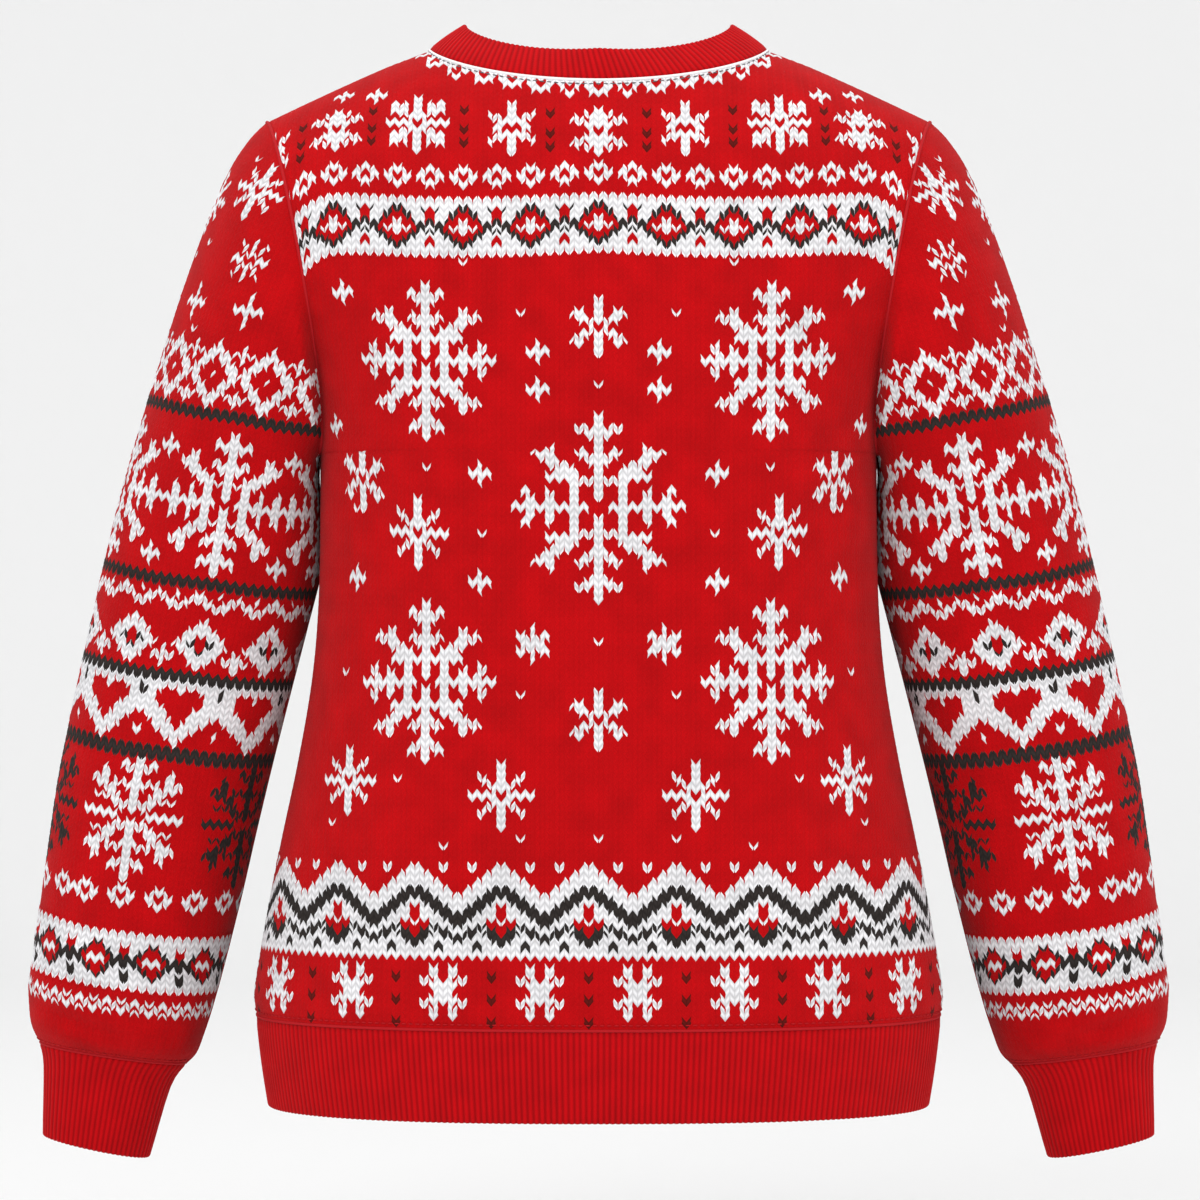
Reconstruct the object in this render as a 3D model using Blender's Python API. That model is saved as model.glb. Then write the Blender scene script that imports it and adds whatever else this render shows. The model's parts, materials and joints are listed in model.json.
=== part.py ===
"""Christmas sweater: a knitted pullover, hollow, filled out as it is worn.

Units are metres and +Z is up. X runs across the shoulders, the back faces -Y and the front +Y.
The origin is on the centre line, midway between front and back, level with the two points where
the neck seam meets the shoulder seams: the wearer's shoulders carry the sweater there.

Every piece is a wall of cloth lofted through sections of unlike shape. A piece starts from the
edge of the piece that it is sewn to, one seam gap away, so that neighbours meet but never touch.
"""
import math
from typing import NamedTuple

import bmesh
import bpy
from mathutils import Vector

# ---------------------------------------------------------------- driving dimensions
CLOTH = 0.0020               # thickness of the patterned knit
RIB_CLOTH = 0.0020           # thickness of the rib bands in their grooves
RIB_HEIGHT = 0.0009          # how far a rib stands out of its groove
SEAM_GAP = 0.0003            # space between two pieces at a seam

NECK_HALF_WIDTH = 0.1045     # neck seam, centre line to shoulder seam
NECK_DROP_BACK = 0.026       # neck seam below the shoulder points, at the centre back
NECK_DROP_FRONT = 0.088      # the same at the centre front
SHOULDER_X = 0.205           # outer end of the shoulder seam
SHOULDER_Z = -0.0445
SHOULDER_CURVE = 1.08        # 1 is a straight shoulder seam, more is one that drops outwards
SADDLE_RISE = 0.020          # how far the shoulder line, carried on over the neck, would rise
NECK_CURVE = 1.2             # 1 is an elliptic neck seam, more is narrower towards its bottom
NECK_CROWDING = 1.5          # how much closer the columns lie near the shoulder points
NECK_BOW = 0.008             # how far the columns bow outwards below the neck seam
UNDERARM_Z = -0.250
ROUNDING_Z = -0.220          # above this the body rounds over to the shoulder seam
ROUNDING_POWER = 2.2
ARMHOLE_HALF_DEPTH = 0.068   # half of the armhole's width from front to back, about
CHEST_FLARE = 0.160          # how fast the body's section widens from the underarm up
HOLLOW_BACK = 0.011          # how far the armhole curves in from a straight line, behind the arm
HOLLOW_FRONT = 0.016         # the same in front of it
HEM_SEAM_Z = -0.5955
HEM_Z = -0.650
HEM_DRAW = 0.966             # width of the hem's edge to that of its seam
SMALL_STEP = 0.0001          # step over which a surface's slope is taken
SECTION_POWER = 2.4          # roundness of the body's sections: 2 is an ellipse, more is squarer
SLEEVE_POWER = 2.15          # the same of the sleeves' sections

NECK_BAND_RISE = 0.0150      # height of the neckband's edge over its seam, at the sides
NECK_BAND_RISE_BACK = 0.0190  # and at the centre back and front
NECK_BAND_LEAN = 0.0210      # how far it leans in at the sides
NECK_BAND_LEAN_BACK = 0.0080  # and at the centre back and front
ARMHOLE_GAP = 0.0006         # space at the armhole, where the cloth folds back on itself
RIB_COLUMNS = 2              # points across a rib: its groove and its ridge
PLAIN_RIBS = 2               # ribs to each point of the plain inside
NECK_GAP = 0.0008            # space under the neckband, whose seam turns sharply at the shoulders
NECK_SEAM_SHARE = 0.25       # height of the neckband's ribs at its seam, to that above it
NECK_RIBS = 176              # ribs of 3.4 mm along the neck seam
HEM_RIBS = 300               # ribs of 3.5 mm around the hem
CUFF_RIBS = 60               # ribs of 3.5 mm around a cuff

PANEL_COLUMNS = 26           # across a panel
NECK_COLUMNS = 6             # of these, on each side of the centre, end at the neck
ROWS_BELOW = 9               # from the hem seam to the underarm
ROWS_ABOVE = 11              # from the underarm to the shoulder
SLEEVE_RINGS = 19            # along a sleeve


class BodyRow(NamedTuple):
    """A level section of the body."""

    z: float
    half_width: float
    back: float     # depth behind the middle
    front: float    # depth before the middle


BODY = (
    BodyRow(z=-0.5955, half_width=0.2110, back=0.1130, front=0.1170),
    BodyRow(z=-0.5860, half_width=0.2126, back=0.1150, front=0.1190),
    BodyRow(z=-0.5720, half_width=0.2112, back=0.1140, front=0.1190),
    BodyRow(z=-0.5400, half_width=0.2058, back=0.1120, front=0.1180),
    BodyRow(z=-0.4900, half_width=0.1964, back=0.1100, front=0.1170),
    BodyRow(z=-0.4400, half_width=0.1858, back=0.1080, front=0.1160),
    BodyRow(z=-0.3900, half_width=0.1772, back=0.1070, front=0.1170),
    BodyRow(z=-0.3450, half_width=0.1732, back=0.1080, front=0.1190),
    BodyRow(z=-0.3000, half_width=0.1722, back=0.1090, front=0.1200),
    BodyRow(z=-0.2500, half_width=0.1720, back=0.1090, front=0.1190),
    BodyRow(z=-0.1500, half_width=0.1720, back=0.1080, front=0.1120),
    BodyRow(z=-0.0800, half_width=0.1720, back=0.1080, front=0.1050),
    BodyRow(z=0.0200, half_width=0.1720, back=0.1080, front=0.1000),
)


class SleeveRow(NamedTuple):
    """A section across the left sleeve, between its outer and its inner edge."""

    outer_x: float
    outer_z: float
    inner_x: float
    inner_z: float
    half_depth: float
    forward: float      # how far its middle lies before the armhole's
    hollow: float       # how far its sides curve in towards the body


SLEEVE = (
    SleeveRow(-0.2165, -0.0545, -0.1744, -0.2530, 0.0695, 0.001, 0.0095),
    SleeveRow(-0.2285, -0.0725, -0.1746, -0.2565, 0.0700, 0.003, 0.007),
    SleeveRow(-0.2440, -0.1085, -0.1742, -0.2630, 0.0705, 0.006, 0.004),
    SleeveRow(-0.2582, -0.1480, -0.1736, -0.2720, 0.0695, 0.009, 0.001),
    SleeveRow(-0.2722, -0.1910, -0.1725, -0.2830, 0.0665, 0.012, 0.000),
    SleeveRow(-0.2863, -0.2350, -0.1723, -0.2980, 0.0625, 0.015, 0.000),
    SleeveRow(-0.2993, -0.2800, -0.1728, -0.3190, 0.0590, 0.018, 0.000),
    SleeveRow(-0.3102, -0.3250, -0.1820, -0.3560, 0.0560, 0.020, 0.000),
    SleeveRow(-0.3208, -0.3720, -0.1941, -0.4025, 0.0540, 0.021, 0.000),
    SleeveRow(-0.3300, -0.4125, -0.2044, -0.4430, 0.0525, 0.022, 0.000),
    SleeveRow(-0.3379, -0.4540, -0.2143, -0.4840, 0.0510, 0.023, 0.000),
    SleeveRow(-0.3439, -0.4945, -0.2238, -0.5250, 0.0500, 0.024, 0.000),
    SleeveRow(-0.3503, -0.5360, -0.2341, -0.5660, 0.0485, 0.024, 0.000),
    SleeveRow(-0.3546, -0.5660, -0.2419, -0.5940, 0.0465, 0.025, 0.000),
    SleeveRow(-0.3565, -0.5870, -0.2473, -0.6105, 0.0440, 0.025, 0.000),
    SleeveRow(-0.3545, -0.6050, -0.2520, -0.6225, 0.0390, 0.025, 0.000),
    SleeveRow(-0.3490, -0.6160, -0.2582, -0.6290, 0.0290, 0.025, 0.000),
)

CUFF = (
    SleeveRow(-0.3458, -0.6300, -0.2692, -0.6440, 0.0260, 0.025, 0.000),
    SleeveRow(-0.3469, -0.6730, -0.2815, -0.6870, 0.0235, 0.025, 0.000),
)


class Finish(NamedTuple):
    """The plain finish of a piece."""

    colour: tuple
    roughness: float


KNIT = Finish(colour=(0.560, 0.004, 0.010, 1.0), roughness=0.85)
RIB = Finish(colour=(0.520, 0.003, 0.012, 1.0), roughness=0.80)


# ---------------------------------------------------------------- curves through the tables
def hermite(before, start, end, after, share):
    """A smooth value between start and end that heads for its neighbours."""
    slope_start = (end - before) / 2
    slope_end = (after - start) / 2
    square, cube = share ** 2, share ** 3
    return ((2 * cube - 3 * square + 1) * start + (cube - 2 * square + share) * slope_start
            + (3 * square - 2 * cube) * end + (cube - square) * slope_end)


def between(table, place):
    """The row of a table at a place counted in rows, such as 2.5, smoothly between its rows."""
    place = min(max(place, 0.0), len(table) - 1.0)
    index = min(int(place), len(table) - 2)
    rows = [table[min(max(index + step, 0), len(table) - 1)] for step in (-1, 0, 1, 2)]
    return type(table[0])(*(hermite(*values, place - index) for values in zip(*rows)))


def body_row(z):
    """The body's section at a height."""
    for index in range(len(BODY) - 1):
        low, high = BODY[index], BODY[index + 1]
        if z <= high.z or index == len(BODY) - 2:
            return between(BODY, index + (z - low.z) / (high.z - low.z))


def shoulder_line(x):
    """Height of the shoulder seam, carried on over the neck as a saddle."""
    out = abs(x) - NECK_HALF_WIDTH
    if out >= 0:
        return SHOULDER_Z * (out / (SHOULDER_X - NECK_HALF_WIDTH)) ** SHOULDER_CURVE
    return SADDLE_RISE * (1 - (x / NECK_HALF_WIDTH) ** 2)


def rounding(x, z):
    """Share of the body's depth that is left at a height, down to 0 at the shoulder line."""
    share = (z - ROUNDING_Z) / (shoulder_line(x) - ROUNDING_Z)
    share = min(max(share, 0.0), 1.0)
    return (1 - share ** ROUNDING_POWER) ** (1 / ROUNDING_POWER)


def body_depth(side, z):
    """Depth of the back (side -1) or the front (side +1) at a height."""
    row = body_row(z)
    return row.back if side < 0 else row.front


def lifted(rise):
    """Share of the height from the underarm to the shoulder, closer spaced at both ends."""
    return (1 + math.sin((rise - 0.5) * math.pi)) / 2


def chest_half_width(lift):
    """Half width of the body's section, carried on past the armhole, above the underarm."""
    widening = lift ** 2 if lift < 0.5 else lift - 0.25
    return body_row(UNDERARM_Z).half_width + CHEST_FLARE * widening


def body_surface(side, x, z, half_width):
    """A point of the body's outer face, x to the right, on a section of this half width."""
    share = (1 - min(x / half_width, 1.0) ** SECTION_POWER) ** (1 / SECTION_POWER)
    return Vector((x, side * body_depth(side, z) * share * rounding(x, z), z))


def surface_normal(spot, rise):
    """The way out of the body at a point of it above the underarm."""
    side, x, half_width = math.copysign(1, spot.y), abs(spot.x), chest_half_width(lifted(rise))
    here = body_surface(side, x, spot.z, half_width)
    across = body_surface(side, x + SMALL_STEP, spot.z, half_width) - here
    up = here - body_surface(side, x, spot.z - SMALL_STEP, half_width)
    normal = up.cross(across) * side
    return Vector((math.copysign(normal.x, spot.x), normal.y, normal.z))


def armhole(side, rise):
    """A point of the right armhole: rise 0 is the underarm, 1 the shoulder."""
    lift = lifted(rise)
    hollow = (HOLLOW_BACK if side < 0 else HOLLOW_FRONT) * math.sin(rise * math.pi)
    under_x = body_row(UNDERARM_Z).half_width
    x = under_x + (SHOULDER_X - under_x) * lift - hollow
    z = UNDERARM_Z + (SHOULDER_Z - UNDERARM_Z) * lift
    return body_surface(side, x, z, chest_half_width(lift))


# ---------------------------------------------------------------- the two panels
class PanelForm:
    """The outer and inner points of the back (side -1) or the front (side +1), row by row."""

    def __init__(self, side):
        self.side = side
        self.half = PANEL_COLUMNS // 2
        columns = range(-self.half, self.half + 1)
        rows = ROWS_BELOW + ROWS_ABOVE
        self.outer = [[self.point(column, row) for column in columns] for row in range(rows + 1)]
        self.inner = inner_points(self.outer, False, self.seam_normal)

    def point(self, column, row):
        """A point of the outer face."""
        share = column / self.half
        if row <= ROWS_BELOW:
            spot = self.body_point(share, row)
        else:
            spot = self.shoulder_point(column, (row - ROWS_BELOW) / ROWS_ABOVE)
        return spot + Vector((0, self.side * SEAM_GAP / 2, 0))

    def body_point(self, share, row):
        """A point between the hem and the underarm, on a level section."""
        z = HEM_SEAM_Z + (UNDERARM_Z - HEM_SEAM_Z) * row / ROWS_BELOW
        angle = abs(share) * math.pi / 2
        across = math.sin(angle) ** (2 / SECTION_POWER)
        back = max(math.cos(angle), 0.0) ** (2 / SECTION_POWER)
        return Vector((math.copysign(across, share) * body_row(z).half_width,
                       self.side * body_depth(self.side, z) * back, z))

    def top(self, column):
        """The end of a column, on the neck seam or on the shoulder seam: its x and z."""
        if column >= NECK_COLUMNS:
            out = ((column - NECK_COLUMNS) / (self.half - NECK_COLUMNS)) ** NECK_CROWDING
            x = NECK_HALF_WIDTH + (SHOULDER_X - NECK_HALF_WIDTH) * out
            return x, shoulder_line(x)
        angle = (1 - (1 - column / NECK_COLUMNS) ** NECK_CROWDING) * math.pi / 2
        drop = NECK_DROP_BACK if self.side < 0 else NECK_DROP_FRONT
        return NECK_HALF_WIDTH * math.sin(angle), -drop * math.cos(angle) ** NECK_CURVE

    def shoulder_point(self, column, rise):
        """A point between the underarm and the neck or shoulder seam."""
        edge = armhole(self.side, rise)
        lift = lifted(rise)
        half_width = chest_half_width(lift)
        end = math.asin(min(edge.x / half_width, 1.0) ** (SECTION_POWER / 2))
        top_x, top_z = self.top(abs(column))
        share = math.sin(end * abs(column) / self.half) / math.sin(end)
        low_x = edge.x * share ** (2 / SECTION_POWER)
        outwards = max(top_x - NECK_HALF_WIDTH, 0.0) / (SHOULDER_X - NECK_HALF_WIDTH)
        bow = NECK_BOW * math.sin(rise * math.pi) * (1 - outwards) * top_x / NECK_HALF_WIDTH
        end_x = top_x + (edge.x - SHOULDER_X) * outwards
        x = low_x + (end_x - low_x) * lift ** 2 + bow
        spot = body_surface(self.side, x, UNDERARM_Z + (top_z - UNDERARM_Z) * lift, half_width)
        spot.x = math.copysign(x, column)
        return spot

    def seam_normal(self, row, column, normal):
        """The way through the cloth: at a seam both pieces share it."""
        ends = (0, PANEL_COLUMNS)
        if row == 0:
            return Vector((normal.x, normal.y, 0))
        if row > ROWS_BELOW:
            normal = surface_normal(self.outer[row][column], (row - ROWS_BELOW) / ROWS_ABOVE)
        if column in ends and row < ROWS_BELOW:
            return Vector((normal.x, 0, 0))
        if column in ends:
            angle = ((row - ROWS_BELOW) / ROWS_ABOVE - 0.5) * math.pi
            height = (SHOULDER_Z - UNDERARM_Z) / 2
            return Vector((0, self.side * max(math.cos(angle), 0.0) / ARMHOLE_HALF_DEPTH,
                           math.sin(angle) / height))
        if row == ROWS_BELOW + ROWS_ABOVE and abs(column - self.half) >= NECK_COLUMNS:
            return Vector((normal.x, 0, normal.z))
        return normal

    def neck_edge(self, points):
        """The neck seam's points from left to right."""
        return points[-1][self.half - NECK_COLUMNS:self.half + NECK_COLUMNS + 1]

    def armhole_edge(self, points, column):
        """The armhole seam's points from the shoulder down to the underarm."""
        return [row[column] for row in reversed(points[ROWS_BELOW:])]


def inner_points(outer, closed, seam_normal, thickness=CLOTH):
    """The wall's inner points: each outer point moved in, square to the surface."""
    count = len(outer[0])
    rows = []
    for index, ring in enumerate(outer):
        above = outer[min(index + 1, len(outer) - 1)]
        below = outer[max(index - 1, 0)]
        row = []
        for column, spot in enumerate(ring):
            if closed:
                after, before = ring[(column + 1) % count], ring[column - 1]
            else:
                after, before = ring[min(column + 1, count - 1)], ring[max(column - 1, 0)]
            normal = (after - before).cross(above[column] - below[column])
            outward = normal.normalized() * facing(outer)
            row.append(spot - thickness * seam_normal(index, column, outward).normalized())
        rows.append(row)
    return rows


def facing(outer):
    """1 if rows times columns point out of the middle of the piece, otherwise -1."""
    middle = sum((sum(ring, Vector()) / len(ring) for ring in outer), Vector()) / len(outer)
    ring = outer[len(outer) // 2]
    spot = ring[len(ring) // 2]
    step = ring[len(ring) // 2 + 1] - ring[len(ring) // 2 - 1]
    rise = outer[len(outer) // 2 + 1][len(ring) // 2] - outer[len(outer) // 2 - 1][len(ring) // 2]
    return math.copysign(1.0, step.cross(rise).dot(spot - middle))


# ---------------------------------------------------------------- sleeves and bands
def seam_loop(back, front):
    """One loop through the edges of back and front, from the first point and round by the front."""
    loop = [(back[0] + front[0]) / 2, *back[1:-1], (back[-1] + front[-1]) / 2]
    return loop + list(reversed(front[1:-1]))


def shifted(loop, way, distance):
    """A loop moved by a distance."""
    step = way.normalized() * distance
    return [spot + step for spot in loop]


def sleeve_ring(row, count):
    """A section across the left sleeve, from its outer edge round by the back."""
    outer = Vector((row.outer_x, 0, row.outer_z))
    inner = Vector((row.inner_x, 0, row.inner_z))
    ring = []
    for index in range(count):
        angle = 2 * math.pi * index / count
        along, deep = math.cos(angle), -math.sin(angle)
        power = 2 / SLEEVE_POWER
        along = math.copysign(abs(along) ** power, along)
        deep = math.copysign(abs(deep) ** power, deep)
        spot = (outer + inner) / 2 + (outer - inner) / 2 * along
        spot.y = row.forward + row.half_depth * deep
        spot.x += row.hollow * abs(deep)
        ring.append(spot)
    return ring


class SleeveForm:
    """The outer and inner rings of the left sleeve, from the armhole to the cuff seam."""

    def __init__(self, back, front):
        outward = Vector((-1, 0, 0))
        edges = [seam_loop(back.armhole_edge(points[0], 0), front.armhole_edge(points[1], 0))
                 for points in ((back.outer, front.outer), (back.inner, front.inner))]
        first, lining = (shifted(loop, outward, ARMHOLE_GAP) for loop in edges)
        steps = [(len(SLEEVE) - 1) * index / (SLEEVE_RINGS - 1) for index in range(SLEEVE_RINGS)]
        rings = [sleeve_ring(between(SLEEVE, step), len(first)) for step in steps]
        self.outer = [first, *rings]
        self.inner = inner_points(self.outer, True, self.seam_normal)
        self.inner[0] = lining

    def axis(self):
        """The way the sleeve runs at the cuff seam."""
        row = SLEEVE[-1]
        across = Vector((row.inner_x - row.outer_x, 0, row.inner_z - row.outer_z)).normalized()
        return Vector((across.z, 0, -across.x))

    def seam_normal(self, row, _column, normal):
        """Square to the sleeve's axis at the cuff seam."""
        if row == len(self.outer) - 1:
            return normal - self.axis() * normal.dot(self.axis())
        return normal


def resampled(loop, count):
    """A closed loop as evenly spaced points that lie on it, from its first point."""
    lengths = [(loop[(index + 1) % len(loop)] - spot).length for index, spot in enumerate(loop)]
    step = sum(lengths) / count
    points, segment, passed = [], 0, 0.0
    for index in range(count):
        while passed + lengths[segment] < index * step - 1e-9:
            passed += lengths[segment]
            segment += 1
        share = (index * step - passed) / lengths[segment]
        points.append(loop[segment].lerp(loop[(segment + 1) % len(loop)], share))
    return points


def away(loop, rises):
    """At each point of a loop, the way out of the band that rises from it."""
    count = len(loop)
    middle = sum(loop, Vector()) / count
    ways = []
    for index, (spot, rise) in enumerate(zip(loop, rises)):
        way = (loop[(index + 1) % count] - loop[index - 1]).cross(rise).normalized()
        ways.append(way if way.dot(spot - middle) > 0 else -way)
    return ways


def wall_rings(loops, count):
    """Loops of the same count of points, and at each point the way out of the band."""
    rings = [resampled(loop, count) for loop in loops]
    ways = []
    for index, ring in enumerate(rings):
        low, high = (index, index + 1) if index + 1 < len(rings) else (index - 1, index)
        rises = [end - start for start, end in zip(rings[low], rings[high])]
        ways.append(away(ring, rises))
    return rings, ways


def band(first, lining, loops, ribs, seam_share=1.0):
    """A rib band: outer rings with ribs, and plain inner rings, from the seam to the edge.

    It starts at the seam's outer and inner edge, first and lining, and goes on through loops. The
    ribs have seam_share of their height at the seam.
    """
    outer = []
    for index, (ring, ways) in enumerate(zip(*wall_rings([first, *loops], RIB_COLUMNS * ribs))):
        height = RIB_HEIGHT * (seam_share if index == 0 else 1.0)
        outer.append([spot + way * height * (column % RIB_COLUMNS)
                      for column, (spot, way) in enumerate(zip(ring, ways))])
    plain = ribs // PLAIN_RIBS
    inner = [[spot - way * RIB_CLOTH for spot, way in zip(ring, ways)]
             for ring, ways in zip(*wall_rings([first, *loops], plain))]
    inner[0] = resampled(lining, plain)
    return outer, inner


# ---------------------------------------------------------------- meshes
def add_rings(mesh, rings):
    """Vertices for a list of rings."""
    return [[mesh.verts.new(spot) for spot in ring] for ring in rings]


def strip(mesh, lower, upper, closed):
    """Faces between two rows of equal length."""
    last = len(lower) if closed else len(lower) - 1
    for index in range(last):
        after = (index + 1) % len(lower)
        mesh.faces.new((lower[index], lower[after], upper[after], upper[index]))


def fan(mesh, fine, coarse):
    """Faces between a closed ring of many points and one of few."""
    share = len(fine) // len(coarse)
    for index, corner in enumerate(coarse):
        after = coarse[(index + 1) % len(coarse)]
        points = [fine[(index * share + step) % len(fine)] for step in range(share + 1)]
        middle = share // 2
        for step in range(share):
            tip = corner if step < middle else after
            mesh.faces.new((points[step], points[step + 1], tip))
        mesh.faces.new((points[middle], after, corner))


def finish_object(name, mesh, finish, collection):
    """The finished piece as an object of its own, with its own material."""
    bmesh.ops.recalc_face_normals(mesh, faces=mesh.faces)
    if mesh.calc_volume(signed=True) < 0:
        bmesh.ops.reverse_faces(mesh, faces=mesh.faces)
    data = bpy.data.meshes.new(name)
    mesh.to_mesh(data)
    mesh.free()
    piece = bpy.data.objects.new(name, data)
    collection.objects.link(piece)
    material = bpy.data.materials.new(name)
    material.use_nodes = True
    shader = material.node_tree.nodes["Principled BSDF"]
    shader.inputs["Base Color"].default_value = finish.colour
    shader.inputs["Roughness"].default_value = finish.roughness
    shader.inputs["Metallic"].default_value = 0.0
    data.materials.append(material)
    data.shade_smooth()
    data.set_sharp_from_angle(angle=math.radians(40))
    return piece


def add_wall(name, outer, inner, closed, finish, collection):
    """A wall of cloth between outer and inner rows that match point for point."""
    mesh = bmesh.new()
    outside, inside = add_rings(mesh, outer), add_rings(mesh, inner)
    for rows in (outside, inside):
        for lower, upper in zip(rows, rows[1:]):
            strip(mesh, lower, upper, closed)
    for edge in (0, -1):
        strip(mesh, outside[edge], inside[edge], closed)
        if not closed:
            strip(mesh, [row[edge] for row in outside], [row[edge] for row in inside], False)
    return finish_object(name, mesh, finish, collection)


def add_band(name, rings, collection):
    """A rib band, whose inner rings have fewer points than its outer ones."""
    mesh = bmesh.new()
    outside, inside = (add_rings(mesh, part) for part in rings)
    for rows in (outside, inside):
        for lower, upper in zip(rows, rows[1:]):
            strip(mesh, lower, upper, True)
    for edge in (0, -1):
        fan(mesh, outside[edge], inside[edge])
    return finish_object(name, mesh, RIB, collection)


def mirrored(rings):
    """The same rings on the other side of the centre line."""
    return [[Vector((-spot.x, spot.y, spot.z)) for spot in ring] for ring in rings]


# ---------------------------------------------------------------- the sweater
def neck_band(back, front):
    """The neckband: it rises from the neck seam and leans in, more at the sides."""
    first, lining = ([spot + Vector((-spot.x, -spot.y, NECK_HALF_WIDTH)).normalized() * NECK_GAP
                      for spot in seam_loop(back.neck_edge(points[0]), front.neck_edge(points[1]))]
                     for points in ((back.outer, front.outer), (back.inner, front.inner)))
    loops = []
    for share in (0.5, 1.0):
        loop = []
        for spot in first:
            side = min(abs(spot.x) / NECK_HALF_WIDTH, 1.0)
            lean = NECK_BAND_LEAN * side + NECK_BAND_LEAN_BACK * (1 - side)
            rise = NECK_BAND_RISE * side + NECK_BAND_RISE_BACK * (1 - side)
            flat = Vector((spot.x, spot.y, 0)).normalized()
            loop.append(spot - flat * lean * share + Vector((0, 0, rise * share)))
        loops.append(loop)
    return band(first, lining, loops, NECK_RIBS, NECK_SEAM_SHARE)


def hem_band(back, front):
    """The hem band: one tube from the hem seam down, drawn in a little at its edge."""
    down = Vector((0, 0, -1))
    first, lining = (shifted(seam_loop(back_points[0], front_points[0]), down, SEAM_GAP)
                     for back_points, front_points in ((back.outer, front.outer),
                                                       (back.inner, front.inner)))
    edge = [Vector((spot.x * HEM_DRAW, spot.y * HEM_DRAW, HEM_Z)) for spot in first]
    return band(first, lining, [edge], HEM_RIBS)


def cuff_band(sleeve):
    """The left cuff: one tube from the cuff seam down, narrower at its edge."""
    first, lining = (shifted(rings[-1], sleeve.axis(), SEAM_GAP)
                     for rings in (sleeve.outer, sleeve.inner))
    loops = [sleeve_ring(row, len(first)) for row in CUFF]
    return band(first, lining, loops, CUFF_RIBS)


def main():
    """Build the sweater piece by piece."""
    for old in list(bpy.data.objects):
        bpy.data.objects.remove(old, do_unlink=True)
    collection = bpy.data.collections.new("christmas_sweater")
    bpy.context.scene.collection.children.link(collection)

    back, front = PanelForm(-1), PanelForm(1)
    add_wall("back_panel", back.outer, back.inner, False, KNIT, collection)
    add_wall("front_panel", front.outer, front.inner, False, KNIT, collection)

    sleeve = SleeveForm(back, front)
    add_wall("sleeve_left", sleeve.outer, sleeve.inner, True, KNIT, collection)
    add_wall("sleeve_right", mirrored(sleeve.outer), mirrored(sleeve.inner), True, KNIT, collection)

    add_band("neck_rib", neck_band(back, front), collection)
    add_band("hem_rib", hem_band(back, front), collection)
    cuff = cuff_band(sleeve)
    add_band("cuff_left", cuff, collection)
    add_band("cuff_right", [mirrored(part) for part in cuff], collection)


main()
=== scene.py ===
"""Christmas sweater: the knitted pullover dressed stitch by stitch, hollow and filled out as worn.

Units are metres and +Z is up. X runs across the shoulders, the back faces -Y and the front +Y.
The patterned panels and sleeves are two skins of cloth, an outer one with every V of the pattern
knit raised, and a plain inner one. The neckband, the hem and the cuffs are ribbed tubes.
"""
import json
import logging
import math
from dataclasses import dataclass, field
from enum import Enum, IntEnum
from typing import Callable, NamedTuple, Sequence

import bmesh
import bpy
import numpy as np
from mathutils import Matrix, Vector

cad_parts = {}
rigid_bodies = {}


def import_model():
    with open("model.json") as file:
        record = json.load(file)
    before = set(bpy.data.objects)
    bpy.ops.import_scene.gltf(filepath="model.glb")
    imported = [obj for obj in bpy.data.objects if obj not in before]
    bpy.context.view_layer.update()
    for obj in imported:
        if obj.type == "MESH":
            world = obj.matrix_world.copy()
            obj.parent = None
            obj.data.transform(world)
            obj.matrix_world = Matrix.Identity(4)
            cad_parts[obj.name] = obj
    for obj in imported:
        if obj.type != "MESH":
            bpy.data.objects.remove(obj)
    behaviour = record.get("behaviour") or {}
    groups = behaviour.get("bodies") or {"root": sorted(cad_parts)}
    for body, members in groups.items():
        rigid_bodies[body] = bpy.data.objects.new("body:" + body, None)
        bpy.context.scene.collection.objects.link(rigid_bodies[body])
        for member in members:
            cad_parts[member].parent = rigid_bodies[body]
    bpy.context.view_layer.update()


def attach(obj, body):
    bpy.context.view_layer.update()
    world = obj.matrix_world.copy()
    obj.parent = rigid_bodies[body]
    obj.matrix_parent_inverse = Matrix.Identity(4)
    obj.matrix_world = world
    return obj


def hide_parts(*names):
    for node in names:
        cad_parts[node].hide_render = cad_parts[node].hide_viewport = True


LOG = logging.getLogger("christmas_sweater")

Points = np.ndarray
Mesh = bpy.types.Mesh
Material = bpy.types.Material
Socket = bpy.types.NodeSocket
Colour = tuple[float, float, float, float]

TINY = 1e-12                    # keeps a division from failing
MERGED = 2e-5                   # points of a mesh that are closer become one
MIRROR = (-1, 1, 1)             # turns the left into the right
ASKEW = (0.123, 0.98, 0.155)    # a direction that no seam runs along

# ---------------------------------------------------------------- the garment's sizes
CLOTH = 0.0020
RIB_CLOTH = 0.0020
RIB_HEIGHT = 0.0009
NECK_HALF_WIDTH = 0.1045
NECK_DROP_BACK = 0.026
NECK_DROP_FRONT = 0.088
SHOULDER_X = 0.205
SHOULDER_Z = -0.0445
SHOULDER_CURVE = 1.08
SADDLE_RISE = 0.020
NECK_CURVE = 1.2
UNDERARM_Z = -0.250
ROUNDING_Z = -0.220
ROUNDING_POWER = 2.2
CHEST_FLARE = 0.160
HOLLOW_BACK = 0.011
HOLLOW_FRONT = 0.016
HEM_SEAM_Z = -0.5955
HEM_Z = -0.650
HEM_DRAW = 0.966
SECTION_POWER = 2.4
SLEEVE_POWER = 2.15
NECK_BAND_RISE = 0.0150
NECK_BAND_RISE_BACK = 0.0190
NECK_BAND_LEAN = 0.0210
NECK_BAND_LEAN_BACK = 0.0080
NECK_GAP = 0.0008            # between the neck's edge and its band
SEAM_GAP = 0.0006            # between two pieces that are sewn together
THREAD_LIFT = 0.0004         # of the middle of a stitched thread above the cloth
BAND_RINGS = 9               # rings of points up a band
HEM_LEVEL = 3                # the level of the flat cloth that a band's stitching follows

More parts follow.
